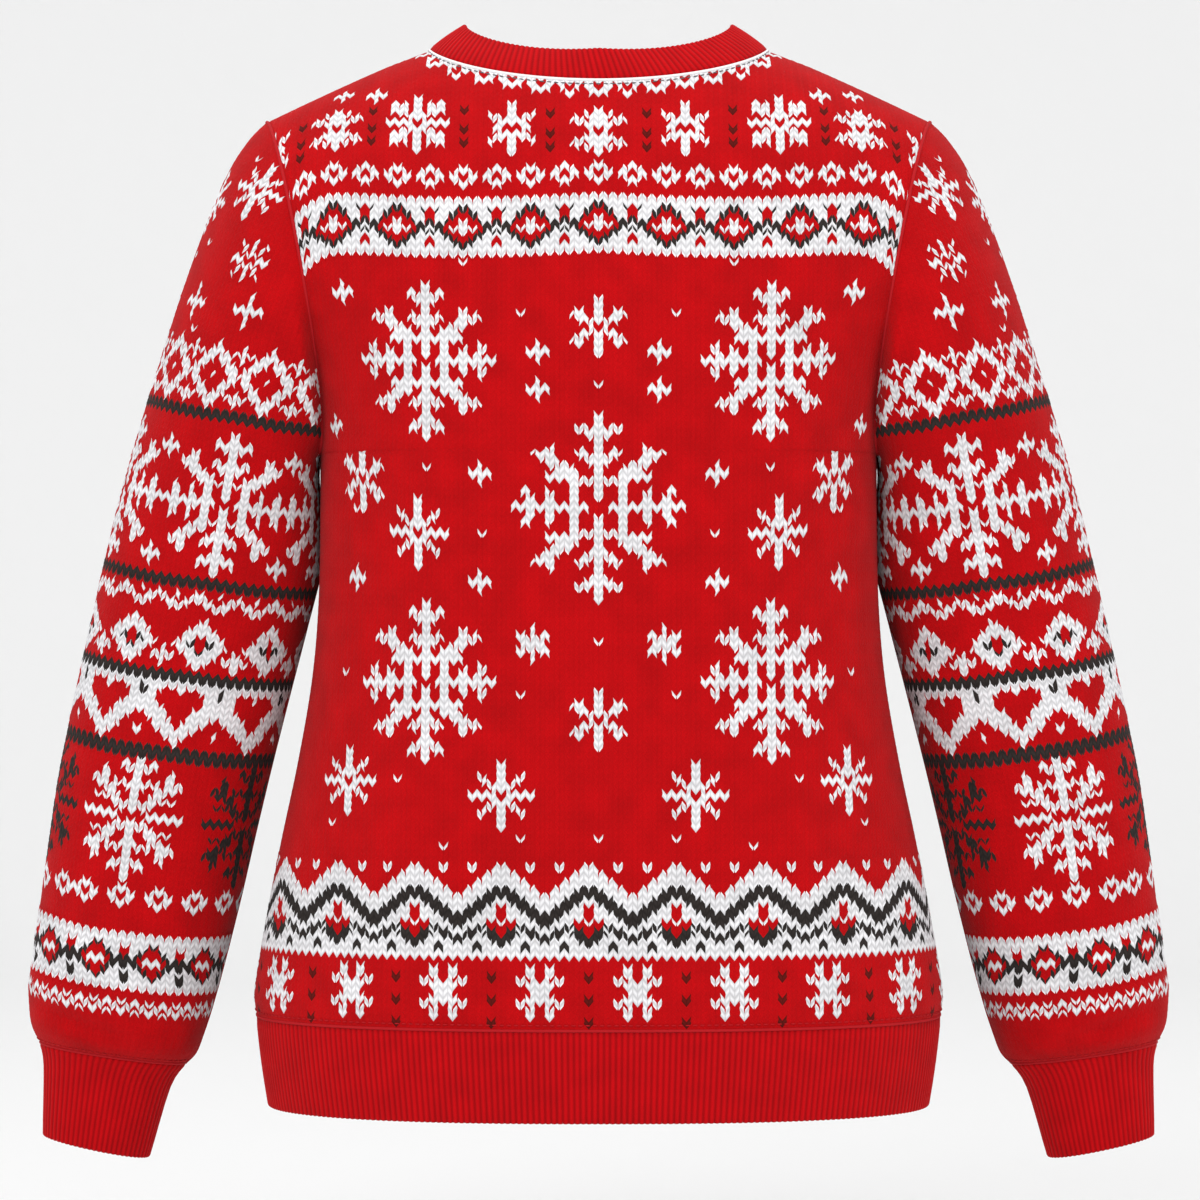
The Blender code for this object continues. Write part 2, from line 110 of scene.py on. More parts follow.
# z, half width, depth of the back, depth of the front
BODY = np.array((
    (-0.5955, 0.2110, 0.1130, 0.1170),
    (-0.5860, 0.2126, 0.1150, 0.1190),
    (-0.5720, 0.2112, 0.1140, 0.1190),
    (-0.5400, 0.2058, 0.1120, 0.1180),
    (-0.4900, 0.1964, 0.1100, 0.1170),
    (-0.4400, 0.1858, 0.1080, 0.1160),
    (-0.3900, 0.1772, 0.1070, 0.1170),
    (-0.3450, 0.1732, 0.1080, 0.1190),
    (-0.3000, 0.1722, 0.1090, 0.1200),
    (-0.2500, 0.1720, 0.1090, 0.1190),
    (-0.1500, 0.1720, 0.1080, 0.1120),
    (-0.0800, 0.1720, 0.1080, 0.1050),
    (0.0200, 0.1720, 0.1080, 0.1000),
))

# outer x and z, inner x and z, half depth, how far forward, how far the sides curve in
SLEEVE = np.array((
    (-0.2165, -0.0545, -0.1744, -0.2530, 0.0695, 0.001, 0.0095),
    (-0.2285, -0.0725, -0.1746, -0.2565, 0.0700, 0.003, 0.007),
    (-0.2440, -0.1085, -0.1742, -0.2630, 0.0705, 0.006, 0.004),
    (-0.2582, -0.1480, -0.1736, -0.2720, 0.0695, 0.009, 0.001),
    (-0.2722, -0.1910, -0.1725, -0.2830, 0.0665, 0.012, 0.000),
    (-0.2863, -0.2350, -0.1723, -0.2980, 0.0625, 0.015, 0.000),
    (-0.2993, -0.2800, -0.1728, -0.3190, 0.0590, 0.018, 0.000),
    (-0.3102, -0.3250, -0.1820, -0.3560, 0.0560, 0.020, 0.000),
    (-0.3208, -0.3720, -0.1941, -0.4025, 0.0540, 0.021, 0.000),
    (-0.3300, -0.4125, -0.2044, -0.4430, 0.0525, 0.022, 0.000),
    (-0.3379, -0.4540, -0.2143, -0.4840, 0.0510, 0.023, 0.000),
    (-0.3439, -0.4945, -0.2238, -0.5250, 0.0500, 0.024, 0.000),
    (-0.3503, -0.5360, -0.2341, -0.5660, 0.0485, 0.024, 0.000),
    (-0.3546, -0.5660, -0.2419, -0.5940, 0.0465, 0.025, 0.000),
    (-0.3565, -0.5870, -0.2473, -0.6105, 0.0440, 0.025, 0.000),
    (-0.3545, -0.6050, -0.2520, -0.6225, 0.0390, 0.025, 0.000),
    (-0.3490, -0.6160, -0.2582, -0.6290, 0.0290, 0.025, 0.000),
))

CUFF = np.array((
    (-0.3458, -0.6300, -0.2692, -0.6440, 0.0260, 0.025, 0.000),
    (-0.3469, -0.6730, -0.2815, -0.6870, 0.0235, 0.025, 0.000),
))

# ---------------------------------------------------------------- the knit
WALE = 0.0058                # width of a stitch of the pattern
COURSE = 0.0045              # height of a row of stitches
V_DROP = 0.80                # how deep the point of a V hangs below its row, in rows
RIDGE_INSET = 0.16           # how far the crown of a leg of the V keeps from its ends
PER_STITCH = np.array((1 / WALE, 1 / COURSE))
MOTIF_REACH = 64.0           # how far a motif can reach from its middle


class Yarn(IntEnum):
    """The yarns of the pattern."""

    RED = 0
    WHITE = 1
    CHARCOAL = 2
    BROWN = 3


STITCH_HEIGHT = np.array((0.00022, 0.00055, 0.00045, 0.00026))     # by yarn


class Side(IntEnum):
    """Which way a panel faces along Y."""

    BACK = -1
    FRONT = 1


# ---------------------------------------------------------------- curves
def unit(ways: Points) -> Points:
    """Vectors of length 1."""
    return ways / np.maximum(np.linalg.norm(ways, axis=-1, keepdims=True), TINY)


def bowed(value: Points, power: float) -> Points:
    """A power of a value's size, with the value's sign."""
    return np.copysign(np.abs(value) ** power, value)


def hermite(start: Points, slope: Points, end: Points, end_slope: Points, share: Points) -> Points:
    """A smooth curve between two places, from their slopes."""
    square, cube = share ** 2, share ** 3
    return ((2 * cube - 3 * square + 1) * start + (cube - 2 * square + share) * slope
            + (3 * square - 2 * cube) * end + (cube - square) * end_slope)


def smooth_step(value: Points, start: float, end: float) -> Points:
    """0 before start, 1 after end, and smooth in between."""
    share = np.clip((value - start) / (end - start), 0, 1)
    return share * share * (3 - 2 * share)


def lengths_along(points: Points, axis: int = 0) -> Points:
    """How far along a line, or along each line of a grid, its points are."""
    steps = np.linalg.norm(np.diff(points, axis=axis), axis=-1)
    return np.insert(np.cumsum(steps, axis=axis), 0, 0, axis=axis)


def at_lengths(wanted: Points, lengths: Points, points: Points) -> Points:
    """Points of a line at wanted lengths along it."""
    return np.stack([np.interp(wanted, lengths, points[:, axis]) for axis in range(3)], axis=-1)


def spaced(path: Points, count: int, closed: bool = False) -> Points:
    """Evenly spaced points of a line."""
    line = np.concatenate([path, path[:1]]) if closed else path
    lengths = lengths_along(line)
    return at_lengths(np.linspace(0, lengths[-1], count, endpoint=not closed), lengths, line)


def blended(grid: Points, row: Points, column: Points) -> Points:
    """Values between the points of a grid, at places counted in its rows and columns."""
    low = np.minimum(row.astype(int), grid.shape[0] - 2)
    left = np.minimum(column.astype(int), grid.shape[1] - 2)
    up, out = ((share[..., None] if grid.ndim > 2 else share)
               for share in (row - low, column - left))
    below = grid[low, left] * (1 - out) + grid[low, left + 1] * out
    above = grid[low + 1, left] * (1 - out) + grid[low + 1, left + 1] * out
    return below * (1 - up) + above * up


def rows_at(table: Points, place: Points) -> Points:
    """Smooth values between the rows of a table, at places counted in rows."""
    last = len(table) - 1
    place = np.clip(np.atleast_1d(place).astype(float), 0, last)
    index = np.minimum(place.astype(int), last - 1)
    before, start, end, after = (table[np.clip(index + step, 0, last)] for step in (-1, 0, 1, 2))
    return hermite(start, (end - before) / 2, end, (after - start) / 2, (place - index)[:, None])


def body_rows(z: Points) -> Points:
    """The body's sections at some heights: z, half width, depth of the back and of the front."""
    z = np.atleast_1d(z)
    index = np.clip(np.searchsorted(BODY[:, 0], z) - 1, 0, len(BODY) - 2)
    return rows_at(BODY, index + (z - BODY[index, 0]) / (BODY[index + 1, 0] - BODY[index, 0]))


def shoulder_line(x: Points) -> Points:
    """Height of the shoulder seam, carried on over the neck as a saddle."""
    out = np.abs(x) - NECK_HALF_WIDTH
    seam = SHOULDER_Z * (np.maximum(out, 0) / (SHOULDER_X - NECK_HALF_WIDTH)) ** SHOULDER_CURVE
    return np.where(out >= 0, seam, SADDLE_RISE * (1 - (x / NECK_HALF_WIDTH) ** 2))


def lift_at(x: Points, z: Points) -> Points:
    """Share of the height from the underarm to the shoulder line."""
    return (z - UNDERARM_Z) / (shoulder_line(x) - UNDERARM_Z)


def lifted(rise: Points) -> Points:
    """Share of the height from the underarm to the shoulder, closer spaced at both ends."""
    return (1 + np.sin((rise - 0.5) * math.pi)) / 2


def chest_half_width(lift: Points) -> Points:
    """Half width of the body's section, carried on past the armhole, above the underarm."""
    widening = np.where(lift < 0.5, lift ** 2, lift - 0.25)
    return body_rows(UNDERARM_Z)[0, 1] + CHEST_FLARE * widening


def body_surface(side: Side, x: Points, z: Points, half_width: Points) -> Points:
    """Points of the body's outer face, x to the right, rounded off towards the shoulder line."""
    deep = body_rows(z.ravel())[:, 2 if side < 0 else 3].reshape(z.shape)
    share = (1 - np.minimum(x / half_width, 1.0) ** SECTION_POWER) ** (1 / SECTION_POWER)
    high = np.clip((z - ROUNDING_Z) / (shoulder_line(x) - ROUNDING_Z), 0, 1)
    left = (1 - high ** ROUNDING_POWER) ** (1 / ROUNDING_POWER)
    return np.stack([x, side * deep * share * left, z], axis=-1)


def armhole_x(side: Side, rise: Points) -> Points:
    """Half width of a panel at the armhole: rise 0 is the underarm, 1 the shoulder."""
    hollow = (HOLLOW_BACK if side < 0 else HOLLOW_FRONT) * np.sin(rise * math.pi)
    under_x = body_rows(UNDERARM_Z)[0, 1]
    return under_x + (SHOULDER_X - under_x) * lifted(rise) - hollow


def sleeve_rings(table: Points, place: Points, angle: Points) -> Points:
    """Rings across the left sleeve, by place and angle: angle 0 is its outer edge, pi / 2 its back.

    Args:
        table: The sleeve's or the cuff's sections.
        place: Places along the table, in rows.
        angle: Angles round the sleeve.

    Returns:
        Their points.
    """
    row = rows_at(table, place)[:, None, :]
    along, deep = (bowed(part, 2 / SLEEVE_POWER) for part in (np.cos(angle), -np.sin(angle)))
    x, z = ((row[..., part] + row[..., part + 2]) / 2
            + (row[..., part] - row[..., part + 2]) / 2 * along for part in (0, 1))
    return np.stack([x + row[..., 6] * np.abs(deep), row[..., 5] + row[..., 4] * deep, z], axis=-1)


# ---------------------------------------------------------------- the pattern
# Sizes of the pattern are in millimetres on the flat cloth: x from the motif's middle, y up.
@dataclass(frozen=True)
class Shape:
    """A figure knitted in one yarn."""

    yarn: Yarn

    def covers(self, x: Points, y: Points) -> np.ndarray:
        """Which places the figure covers."""
        raise NotImplementedError


@dataclass(frozen=True)
class Stroke(Shape):
    """A straight stroke with round ends."""

    x0: float
    y0: float
    x1: float
    y1: float
    width: float

    def covers(self, x: Points, y: Points) -> np.ndarray:
        """Which places lie within half a width of the stroke's line."""
        step_x, step_y = self.x1 - self.x0, self.y1 - self.y0
        length = max(step_x ** 2 + step_y ** 2, TINY)
        share = np.clip(((x - self.x0) * step_x + (y - self.y0) * step_y) / length, 0, 1)
        return np.hypot(x - self.x0 - share * step_x, y - self.y0 - share * step_y) < self.width / 2


@dataclass(frozen=True)
class Lozenge(Shape):
    """A filled lozenge."""

    x: float
    y: float
    half_width: float
    half_height: float

    def covers(self, x: Points, y: Points) -> np.ndarray:
        """Which places lie within the lozenge."""
        return np.abs(x - self.x) / self.half_width + np.abs(y - self.y) / self.half_height < 1


@dataclass(frozen=True)
class Heart(Shape):
    """A filled heart in a motif's middle."""

    y: float
    half_width: float
    half_height: float

    def covers(self, x: Points, y: Points) -> np.ndarray:
        """Which places lie within the heart: two round tops over a point."""
        across, up = x / self.half_width, (y - self.y) / self.half_height
        tops = np.hypot(across - 0.52, up - 0.42) < 0.50
        return tops | ((up < 0.42) & (up > -1) & (across < (up + 1) * 0.70))


class Motif(NamedTuple):
    """A figure of the pattern: its right half, which is mirrored to the left.

    If it's folded, its upper half is mirrored down too. A narrow one stands on one leg of a
    stitch, others on a whole stitch.
    """

    shapes: tuple[Shape, ...]
    folded: bool = False
    narrow: bool = False


SHAPE_OF_LENGTH = {6: Stroke, 5: Lozenge, 4: Heart}


def motif(*rows: tuple[float, ...]) -> Motif:
    """A motif of shapes, each a yarn and its sizes."""
    return Motif(tuple(SHAPE_OF_LENGTH[len(row)](*row) for row in rows))


def flake(*lines: tuple[float, ...], narrow: bool = False) -> Motif:
    """A white snowflake of strokes, each from its ends and its width."""
    return Motif(tuple(Stroke(Yarn.WHITE, *line) for line in lines), True, narrow)


RED, WHITE, CHARCOAL, BROWN = Yarn.RED, Yarn.WHITE, Yarn.CHARCOAL, Yarn.BROWN

GREAT_FLAKE = flake(
    (0, 7, 0, 54, 6), (1, 43, 11.5, 48, 5.6), (1, 27, 10.5, 32.5, 5.4), (14.6, 0, 14.6, 21, 6),
    (0, 16.2, 14.6, 16.2, 4.4), (8, 0, 49, 0, 5.6), (27.2, 0, 30.5, 8.5, 5.2),
    (39.5, 0, 43, 9, 5.6), (15, 18, 31, 30, 8), (28, 29, 28.5, 35, 5.2), (31, 30, 37, 32, 5.2),
    (20, 17.5, 29, 18.5, 5))
LARGE_FLAKE = flake(
    (0, 6, 0, 45, 6), (1, 35.5, 9, 39.6, 5.4), (1, 21, 8, 26, 5), (11.8, 0, 11.8, 17, 6),
    (0, 13.2, 11.8, 13.2, 4.2), (7, 0, 40, 0, 5.2), (21.8, 0, 24.5, 7.4, 4.8),
    (32, 0, 34.5, 8, 5.4), (12, 14, 25, 24.5, 7.2), (22.5, 22.5, 23.5, 29, 5), (25, 24, 31, 26, 5),
    (15, 13.5, 22, 14, 4.6))
SLEEVE_FLAKE = flake(
    (0, 5.5, 0, 42.5, 6), (1, 33, 9.5, 37.2, 5.4), (1, 19, 8.5, 24.5, 5.2), (11.6, 0, 11.6, 16, 6),
    (0, 12.4, 11.6, 12.4, 4.2), (7, 0, 38, 0, 5.2), (31, 0, 33, 7.6, 5.2), (20.5, 4, 21.5, 9, 3.6),
    (12, 13, 25, 23.5, 7.2), (22.5, 22, 23, 28.5, 5), (25, 23, 31, 25, 5))
CROSS_FLAKE_LINES = (
    (0, 5, 0, 37, 6), (2, 28, 9.5, 31.5, 4.6), (2, 17.5, 8.5, 20, 4), (9, 0, 31, 0, 3.6),
    (7, 6, 22, 19, 5.8), (13, 13, 13.5, 20, 3.8), (15, 10, 23, 10.5, 3.6), (20, 18, 28, 20, 4.6),
    (20.5, 20, 21, 27, 4.6), (3, 8, 6, 8, 4))
CROSS_FLAKE = flake(*CROSS_FLAKE_LINES)
DARK_CROSS_FLAKE = motif(*((CHARCOAL, *line) for line in CROSS_FLAKE_LINES))._replace(folded=True)
SIX_FLAKE = flake((0, 4.4, 0, 15.5, 5.6), (3.4, 2.6, 14.2, 7.8, 4.6), (10.8, 5.5, 11.5, 11, 3.6),
                  (0, 0, 0.6, 0, 2))
EIGHT_FLAKE = flake((0, 4.6, 0, 17, 5.6), (6, 0, 17.4, 0, 4.4), (4.4, 4.4, 13.6, 12.4, 4.4))
LARGE_EIGHT_FLAKE = flake((0, 4.6, 0, 17.5, 5.6), (6, 0, 18.4, 0, 4.8), (4, 4, 14, 13.4, 5),
                          (9, 7, 16, 8.6, 4.2), (6.6, 8, 8, 14.8, 4.2))
X_FLAKE = flake((0, 4.6, 0, 14.6, 5.6), (3.4, 3, 13.6, 9.4, 4.2), (7.6, 0, 9.6, 0, 2.6),
                (0, 0, 0.6, 0, 2.6))
LITTLE_FLAKE = flake((0, 2.4, 0, 9.6, 3), (1.4, 1.2, 8.6, 5.4, 3.6), (0, 0, 6.4, 0, 2.4),
                     narrow=True)
THIN_FLAKE = flake((0, 2.6, 0, 12.4, 2.4), (4, 0, 11, 0, 2.6), (3, 3, 8.4, 9.4, 2.4), narrow=True)
BOLD_FLAKE = motif(
    (WHITE, 0, 3, 0, 14, 5.6), (WHITE, 3, 2.6, 14, 8.4, 5), (WHITE, 3.6, 6, 7.4, 12.4, 4.2),
    (RED, 0, 0, 2.8, 0.6, 2.4))._replace(folded=True)
PETAL_STAR = flake((3, 2, 5.4, 13.2, 5.2), (4.6, 3.6, 13.4, 7.4, 4.8), (0, 0, 1.4, 0.4, 2.2))
LITTLE_CROSS = flake((0, 0, 0, 5.4, 2.6), (0, 0, 6, 0, 2.6), narrow=True)
CROSS = flake((0, 0, 0, 8.4, 4.4), (0, 0, 8.8, 0, 4.6), narrow=True)
V_SPOT = motif((WHITE, 0, 0.6, 3.2, 2.4))
BROWN_SPOT = motif((BROWN, 0, 0.6, 3.6, 3.4))

# Motifs that go all round. One turn is from one middle to the next, in stitches where it can be.
FLOWER_TURN, WAVE_TURN, DIAMOND_TURN, NARROW_TURN = (
    stitches * WALE * 1000 for stitches in (3.5, 9, 7, 6))
HEART_TURN, STAR_TURN, PEAK_TURN, LACE_TURN = 8 * WALE * 1000 + 1.4, 44.0, 24.6, 17.4
FLOWER = motif((WHITE, 0, -4.2, 0, 4.2, 5.6), (WHITE, 0, 0, 6.8, 0, 3.8),
               (WHITE, 2.4, 2.4, 3.8, 4, 2.8), (WHITE, 2.4, -2.4, 3.8, -4, 2.8),
               (RED, 0, 0, 3.4, 2.8))
WAVE = motif(
    (WHITE, 0, 0, 76, 56.5), (CHARCOAL, 0, 39.5, 26.1, 20.5, 7.6),
    (WHITE, 12.5, 24.5, 26.1, 13.6, 3.4), (CHARCOAL, 11, 19, 26.1, 9, 3.8),
    (WHITE, 0, 21.5, 13.2, 13.5), (CHARCOAL, 0, 14, 11.8, 8), (WHITE, 0, 27, 11.6, 8.5),
    (RED, 0, 14.5, 0, 27.5, 5.6), (RED, 3, 19, 7.6, 19, 4.6), (WHITE, 0, 20.4, 1.6, 21.4, 2.2),
    (CHARCOAL, 0, 9.5, 0, 11, 3.6), (CHARCOAL, 14.5, 6, 2.8, 2.8), (WHITE, 17.4, 53.6, 3.2, 3.6))
DIAMONDS = motif(
    (CHARCOAL, 0, 0, 17, 15), (RED, 0, 0, 13, 10.6), (WHITE, 1.5, 0, 6.4, 0, 3),
    (WHITE, 0, -3, 0, 3, 4), (RED, 0, 0, 0.2, 0, 2), (CHARCOAL, 14, 0, 20.3, 0, 4.6),
    (CHARCOAL, 20.3, -3, 20.3, 3, 5), (WHITE, 20.3, 0, 20.3, 0.4, 3.2),
    (RED, 20.3, 8.4, 20.3, 9.4, 5.6), (CHARCOAL, 16.4, 9.6, 17.4, 9.6, 2.6),
    (RED, 20.3, -7.8, 20.3, -8.8, 5.6), (RED, 11.4, -13.2, 2.2, 2.2))
NARROW_DIAMONDS = motif(
    (CHARCOAL, 0, 0, 14.2, 13.6), (RED, 0, 0, 10.4, 9.6), (WHITE, 1.5, 0, 4.8, 0, 2.8),
    (WHITE, 0, -1.8, 0, 1.8, 3.2), (CHARCOAL, 12, 0, 17.4, 0, 3.8),
    (CHARCOAL, 17.4, -2.6, 17.4, 2.6, 4.6), (WHITE, 17.4, 0, 17.4, 0.4, 2.8),
    (RED, 17.4, 7, 17.4, 8, 4.6), (CHARCOAL, 17.4, -10.4, 17.4, -9, 5))
HEARTS = motif((WHITE, 0, -0.4, 26.5, 23.5), (RED, 0.4, 14.2, 13.4),
               (CHARCOAL, 24, 9.5, 24, 11, 5.4), (WHITE, 24, -15.2, 24, -14.2, 5))
STAR_DIAMONDS = motif(
    (WHITE, 0, 0, 17.5, 16.5), (CHARCOAL, 0, 0, 5.6, 0, 4.6), (CHARCOAL, 0, -4, 0, 4, 4),
    (RED, 0, -2.2, 0, 4.4, 4.4), (WHITE, 22, -13.4, 22, -4.6, 5), (WHITE, 15.8, -9, 22, -9, 4.6))
PEAK_LINE = motif((WHITE, 0, 3.6, 12.3, -3.6, 4.6), (WHITE, 12.3, 4.4, 2.6, 2.2))
LACE = motif((WHITE, 0, -3.4, 8.7, 2.6, 4.6), (WHITE, 0, 3.6, 3, 2.4), (WHITE, 8.7, -4.4, 2.4, 2))
LATTICE = motif(
    (WHITE, 0, 0, 19, 21.5), (RED, 0, 0, 11, 12.4), (WHITE, 0, 0, 1, 0.4, 2.8),
    (WHITE, 17.4, 11.4, 17.4, 17, 4.6), (WHITE, 12.6, 14.2, 17.4, 14.2, 3),
    (WHITE, 17.4, -17, 17.4, -11.4, 4.6), (WHITE, 12.6, -14.2, 17.4, -14.2, 3))


class Chart:
    """The pattern of a piece: a yarn for the lower and the upper half of each leg of each V.

    Args:
        courses: Rows of stitches.
        wales: Stitches to each side of the middle one.
    """

    def __init__(self, courses: int, wales: int) -> None:
        count = 2 * (2 * wales + 1)
        self.legs = np.zeros((2 * courses, count), dtype=int)
        self.x = (np.arange(count) - (count - 1) / 2) * WALE * 500
        self.y = ((np.arange(2 * courses) + 0.5) / 2 - V_DROP / 2) * COURSE * 1000

    def knit(self, across: float, up: float, figure: Motif, reach: float = MOTIF_REACH) -> None:
        """Knit one motif just where it's said, as far as its reach to each side."""
        columns = slice(*np.searchsorted(self.x, (across - reach, across + reach)))
        rows = slice(*np.searchsorted(self.y, (up - MOTIF_REACH, up + MOTIF_REACH)))
        x, y = np.meshgrid(np.abs(self.x[columns] - across), self.y[rows] - up)
        y = np.abs(y) if figure.folded else y
        for shape in figure.shapes:
            self.legs[rows, columns][shape.covers(x, y)] = shape.yarn

    def band(self, bottom: float, top: float, yarn: Yarn) -> None:
        """Knit all the rows between two heights in one yarn."""
        self.legs[(self.y > bottom) & (self.y < top)] = yarn

    def repeat(self, up: float, figure: Motif, turn: float, phase: float = 0.0) -> None:
        """Knit a motif all round, one for each turn."""
        count = int(self.x[-1] / turn) + 2
        for index in range(-count, count + 1):
            self.knit(phase + index * turn, up, figure, turn / 2 + 0.5)

    def scatter(self, figure: Motif, *spots: tuple[float, float], mirrored: bool = True) -> None:
        """Knit a motif at some places, its middle on the nearest stitch.

        Args:
            figure: The motif.
            spots: How far its middle is from the middle of the piece, and how far up.
            mirrored: Whether to knit it at the same places to the left too.
        """
        wide, high = WALE * 1000, COURSE * 1000
        for spot, up in spots:
            for across in ((-spot, spot) if mirrored and spot else (spot,)):
                stitch = (math.floor(across / wide * 2) / 2 + 0.25 if figure.narrow
                          else round(across / wide))
                row = round(up / high - 0.5 + V_DROP / 2) + 0.5 - V_DROP / 2
                self.knit(stitch * wide, row * high, figure)


def panel_chart() -> Chart:
    """The pattern of the back and the front, from the hem up."""
    chart = Chart(courses=138, wales=52)
    chart.repeat(44, WAVE, WAVE_TURN, -WALE * 1000)
    chart.band(-9, 44, RED)
    for index in range(-5, 6):
        chart.scatter(PETAL_STAR, (-5.8 + 58.4 * (index + 0.5), 21), mirrored=False)
        chart.scatter(BROWN_SPOT, *((-5.8 + 58.4 * index, up) for up in (6, 20, 33.5)),
                      mirrored=False)
    chart.scatter(V_SPOT, (0, 113), (46, 114), (92, 108), (47, 197), (0, 229), (70, 293),
                  (107, 331), (0, 383), (46, 429), (158, 300), (160, 210), (81, 460), (170, 120),
                  (120, 150), (135, 230))
    chart.scatter(EIGHT_FLAKE, (56, 141), (108, 295), (157, 147))
    chart.scatter(SIX_FLAKE, (0, 418.5), (0, 184), (151, 322))
    chart.scatter(LITTLE_FLAKE, (39, 232))
    chart.scatter(LARGE_FLAKE, (107, 209), (107, 399))
    chart.scatter(GREAT_FLAKE, (0, 311))
    chart.scatter(LITTLE_CROSS, (35, 407), (35, 381), (70, 330), (70, 266), (157, 440),
                  (155, 266), (176, 362))
    chart.band(465, 500, WHITE)
    chart.repeat(481.5, DIAMONDS, DIAMOND_TURN)
    chart.repeat(513.45, FLOWER, FLOWER_TURN)
    chart.scatter(BOLD_FLAKE, (0, 542))
    chart.scatter(X_FLAKE, (54, 545), (206, 543))
    chart.scatter(LARGE_EIGHT_FLAKE, (110, 550))
    chart.scatter(BOLD_FLAKE, (165, 546))
    for up in (530, 542, 554):
        chart.scatter(BROWN_SPOT, (29, up), (81, up + 4), (138, up + 5), (188, up))
    chart.scatter(LITTLE_CROSS, (138, 574), (160, 578))
    return chart


def sleeve_chart() -> Chart:
    """The pattern of a sleeve, from the cuff up. The back goes right from the outer edge."""
    chart = Chart(courses=142, wales=52)
    chart.repeat(39, LACE, LACE_TURN)
    chart.band(50.5, 85.5, WHITE)
    chart.repeat(68, NARROW_DIAMONDS, NARROW_TURN)
    chart.scatter(FLOWER, *((15.5 + 22.5 * index, 108) for index in range(-10, 11)),
                  mirrored=False)
    for across in (-200, -58, 84, 226):
        chart.scatter(CROSS_FLAKE, (across, 157), mirrored=False)
        chart.scatter(DARK_CROSS_FLAKE, (across + 71, 157), mirrored=False)
    chart.band(194.8, 202.2, CHARCOAL)
    chart.band(228.5, 246, WHITE)
    chart.repeat(227, HEARTS, HEART_TURN, 3.5)
    chart.band(242.6, 249.8, CHARCOAL)
    chart.repeat(267.5, STAR_DIAMONDS, STAR_TURN, 16.7)
    chart.repeat(293.5, PEAK_LINE, PEAK_TURN)
    chart.band(301.2, 308.4, CHARCOAL)
    for across in (-134, -55, 24, 103, 182):
        chart.scatter(SLEEVE_FLAKE, (across, 355.5), mirrored=False)
        chart.scatter(LITTLE_CROSS, (across - 39.5, 320), (across - 39.5, 388.5), mirrored=False)
    chart.band(407, 414.4, CHARCOAL)
    chart.repeat(435.5, LATTICE, NARROW_TURN, 13)
    for figure, *spots in (
            (CROSS, (-95, 476.5), (-50, 476.5), (5, 476.5), (50, 476.5), (95, 476.5)),
            (THIN_FLAKE, (82, 508.5), (-30, 512), (-82, 505)),
            (EIGHT_FLAKE, (15, 542), (-55, 548), (62, 556)),
            (V_SPOT, (42, 512), (24, 505), (-62, 500), (-4, 502), (44, 572), (-30, 574),
             (60, 458), (-20, 460))):
        chart.scatter(figure, *spots, mirrored=False)
    return chart


# ---------------------------------------------------------------- cloth as a map
@dataclass
class HalfCloth:
    """Half of a piece of cloth, from its middle line to its edge.

    It is laid out flat: across is the distance from the middle line, and up the distance from
    the bottom edge, both along the cloth.

    Args:
        points: The cloth's outer face, by station from the bottom up and by line outwards.
        gather_below: Height under which the wales draw together instead of ending at the edge.
        rise: How far above its place the cloth has slid, by station and line.
        pitch: Spacing of the places that are worked out beforehand.
    """

    points: Points
    gather_below: float = 0.0
    rise: Points | float = 0.0
    pitch: float = 0.0015

    def __post_init__(self) -> None:
        self.heights = lengths_along(self.points) - self.rise
        self.levels = np.arange(0, self.heights.max() + self.pitch, self.pitch)
        rows = np.stack([at_lengths(self.levels, self.heights[:, line], self.points[:, line])
                         for line in range(self.points.shape[1])], axis=1)
        self.reach = lengths_along(rows, axis=1)
        if self.gather_below:
            full = np.interp(self.gather_below, self.levels, self.reach[:, -1])
            gathered = self.levels < self.gather_below
            self.reach[gathered] *= (full / self.reach[gathered, -1])[:, None]
        across = np.arange(0, self.reach.max() + self.pitch, self.pitch)
        self.grid = np.stack([at_lengths(across, *pair) for pair in zip(self.reach, rows)])

    def counted(self, length: Points, axis: int) -> Points:
        """A length on the flat cloth, counted in rows or columns of the places beforehand."""
        return np.clip(length / self.pitch, 0, self.grid.shape[axis] - 1.001)

    def place(self, across: Points, up: Points) -> Points:
        """Points in space of places on the flat cloth."""
        return blended(self.grid, self.counted(up, 0), self.counted(across, 1))

    def flat(self, line: Points, station: Points) -> Points:
        """Places on the flat cloth of places counted in lines and stations."""
        up = blended(self.heights, station, line)
        return np.stack([blended(self.reach, self.counted(up, 0), line), up], axis=-1)


def inside(outline: Points, places: Points) -> np.ndarray:
    """Which places lie within a closed outline."""
    result = np.zeros(len(places), dtype=bool)
    x, y = places.T
    for (x0, y0), (x1, y1) in zip(outline, np.roll(outline, -1, axis=0)):
        if y0 != y1:
            crossed = (y0 > y) != (y1 > y)
            result ^= crossed & (x < (x1 - x0) * (y - y0) / (y1 - y0) + x0)
    return result


def nearest_on(line: Points, places: Points) -> tuple[Points, Points]:
    """The nearest points of an open line to some places, and how far along the line they are."""
    best, spots, ways = np.full(len(places), np.inf), places.copy(), np.zeros(len(places))
    passed = 0.0
    for start, end in zip(line[:-1], line[1:]):
        step = end - start
        length = float(np.hypot(*step))
        if length < TINY:
            continue
        share = np.clip(((places - start) @ step) / length ** 2, 0, 1)
        spot = start + share[:, None] * step
        distance = np.hypot(*(places - spot).T)
        nearer = distance < best
        best[nearer], spots[nearer] = distance[nearer], spot[nearer]
        ways[nearer] = passed + share[nearer] * length
        passed += length
    return spots, ways


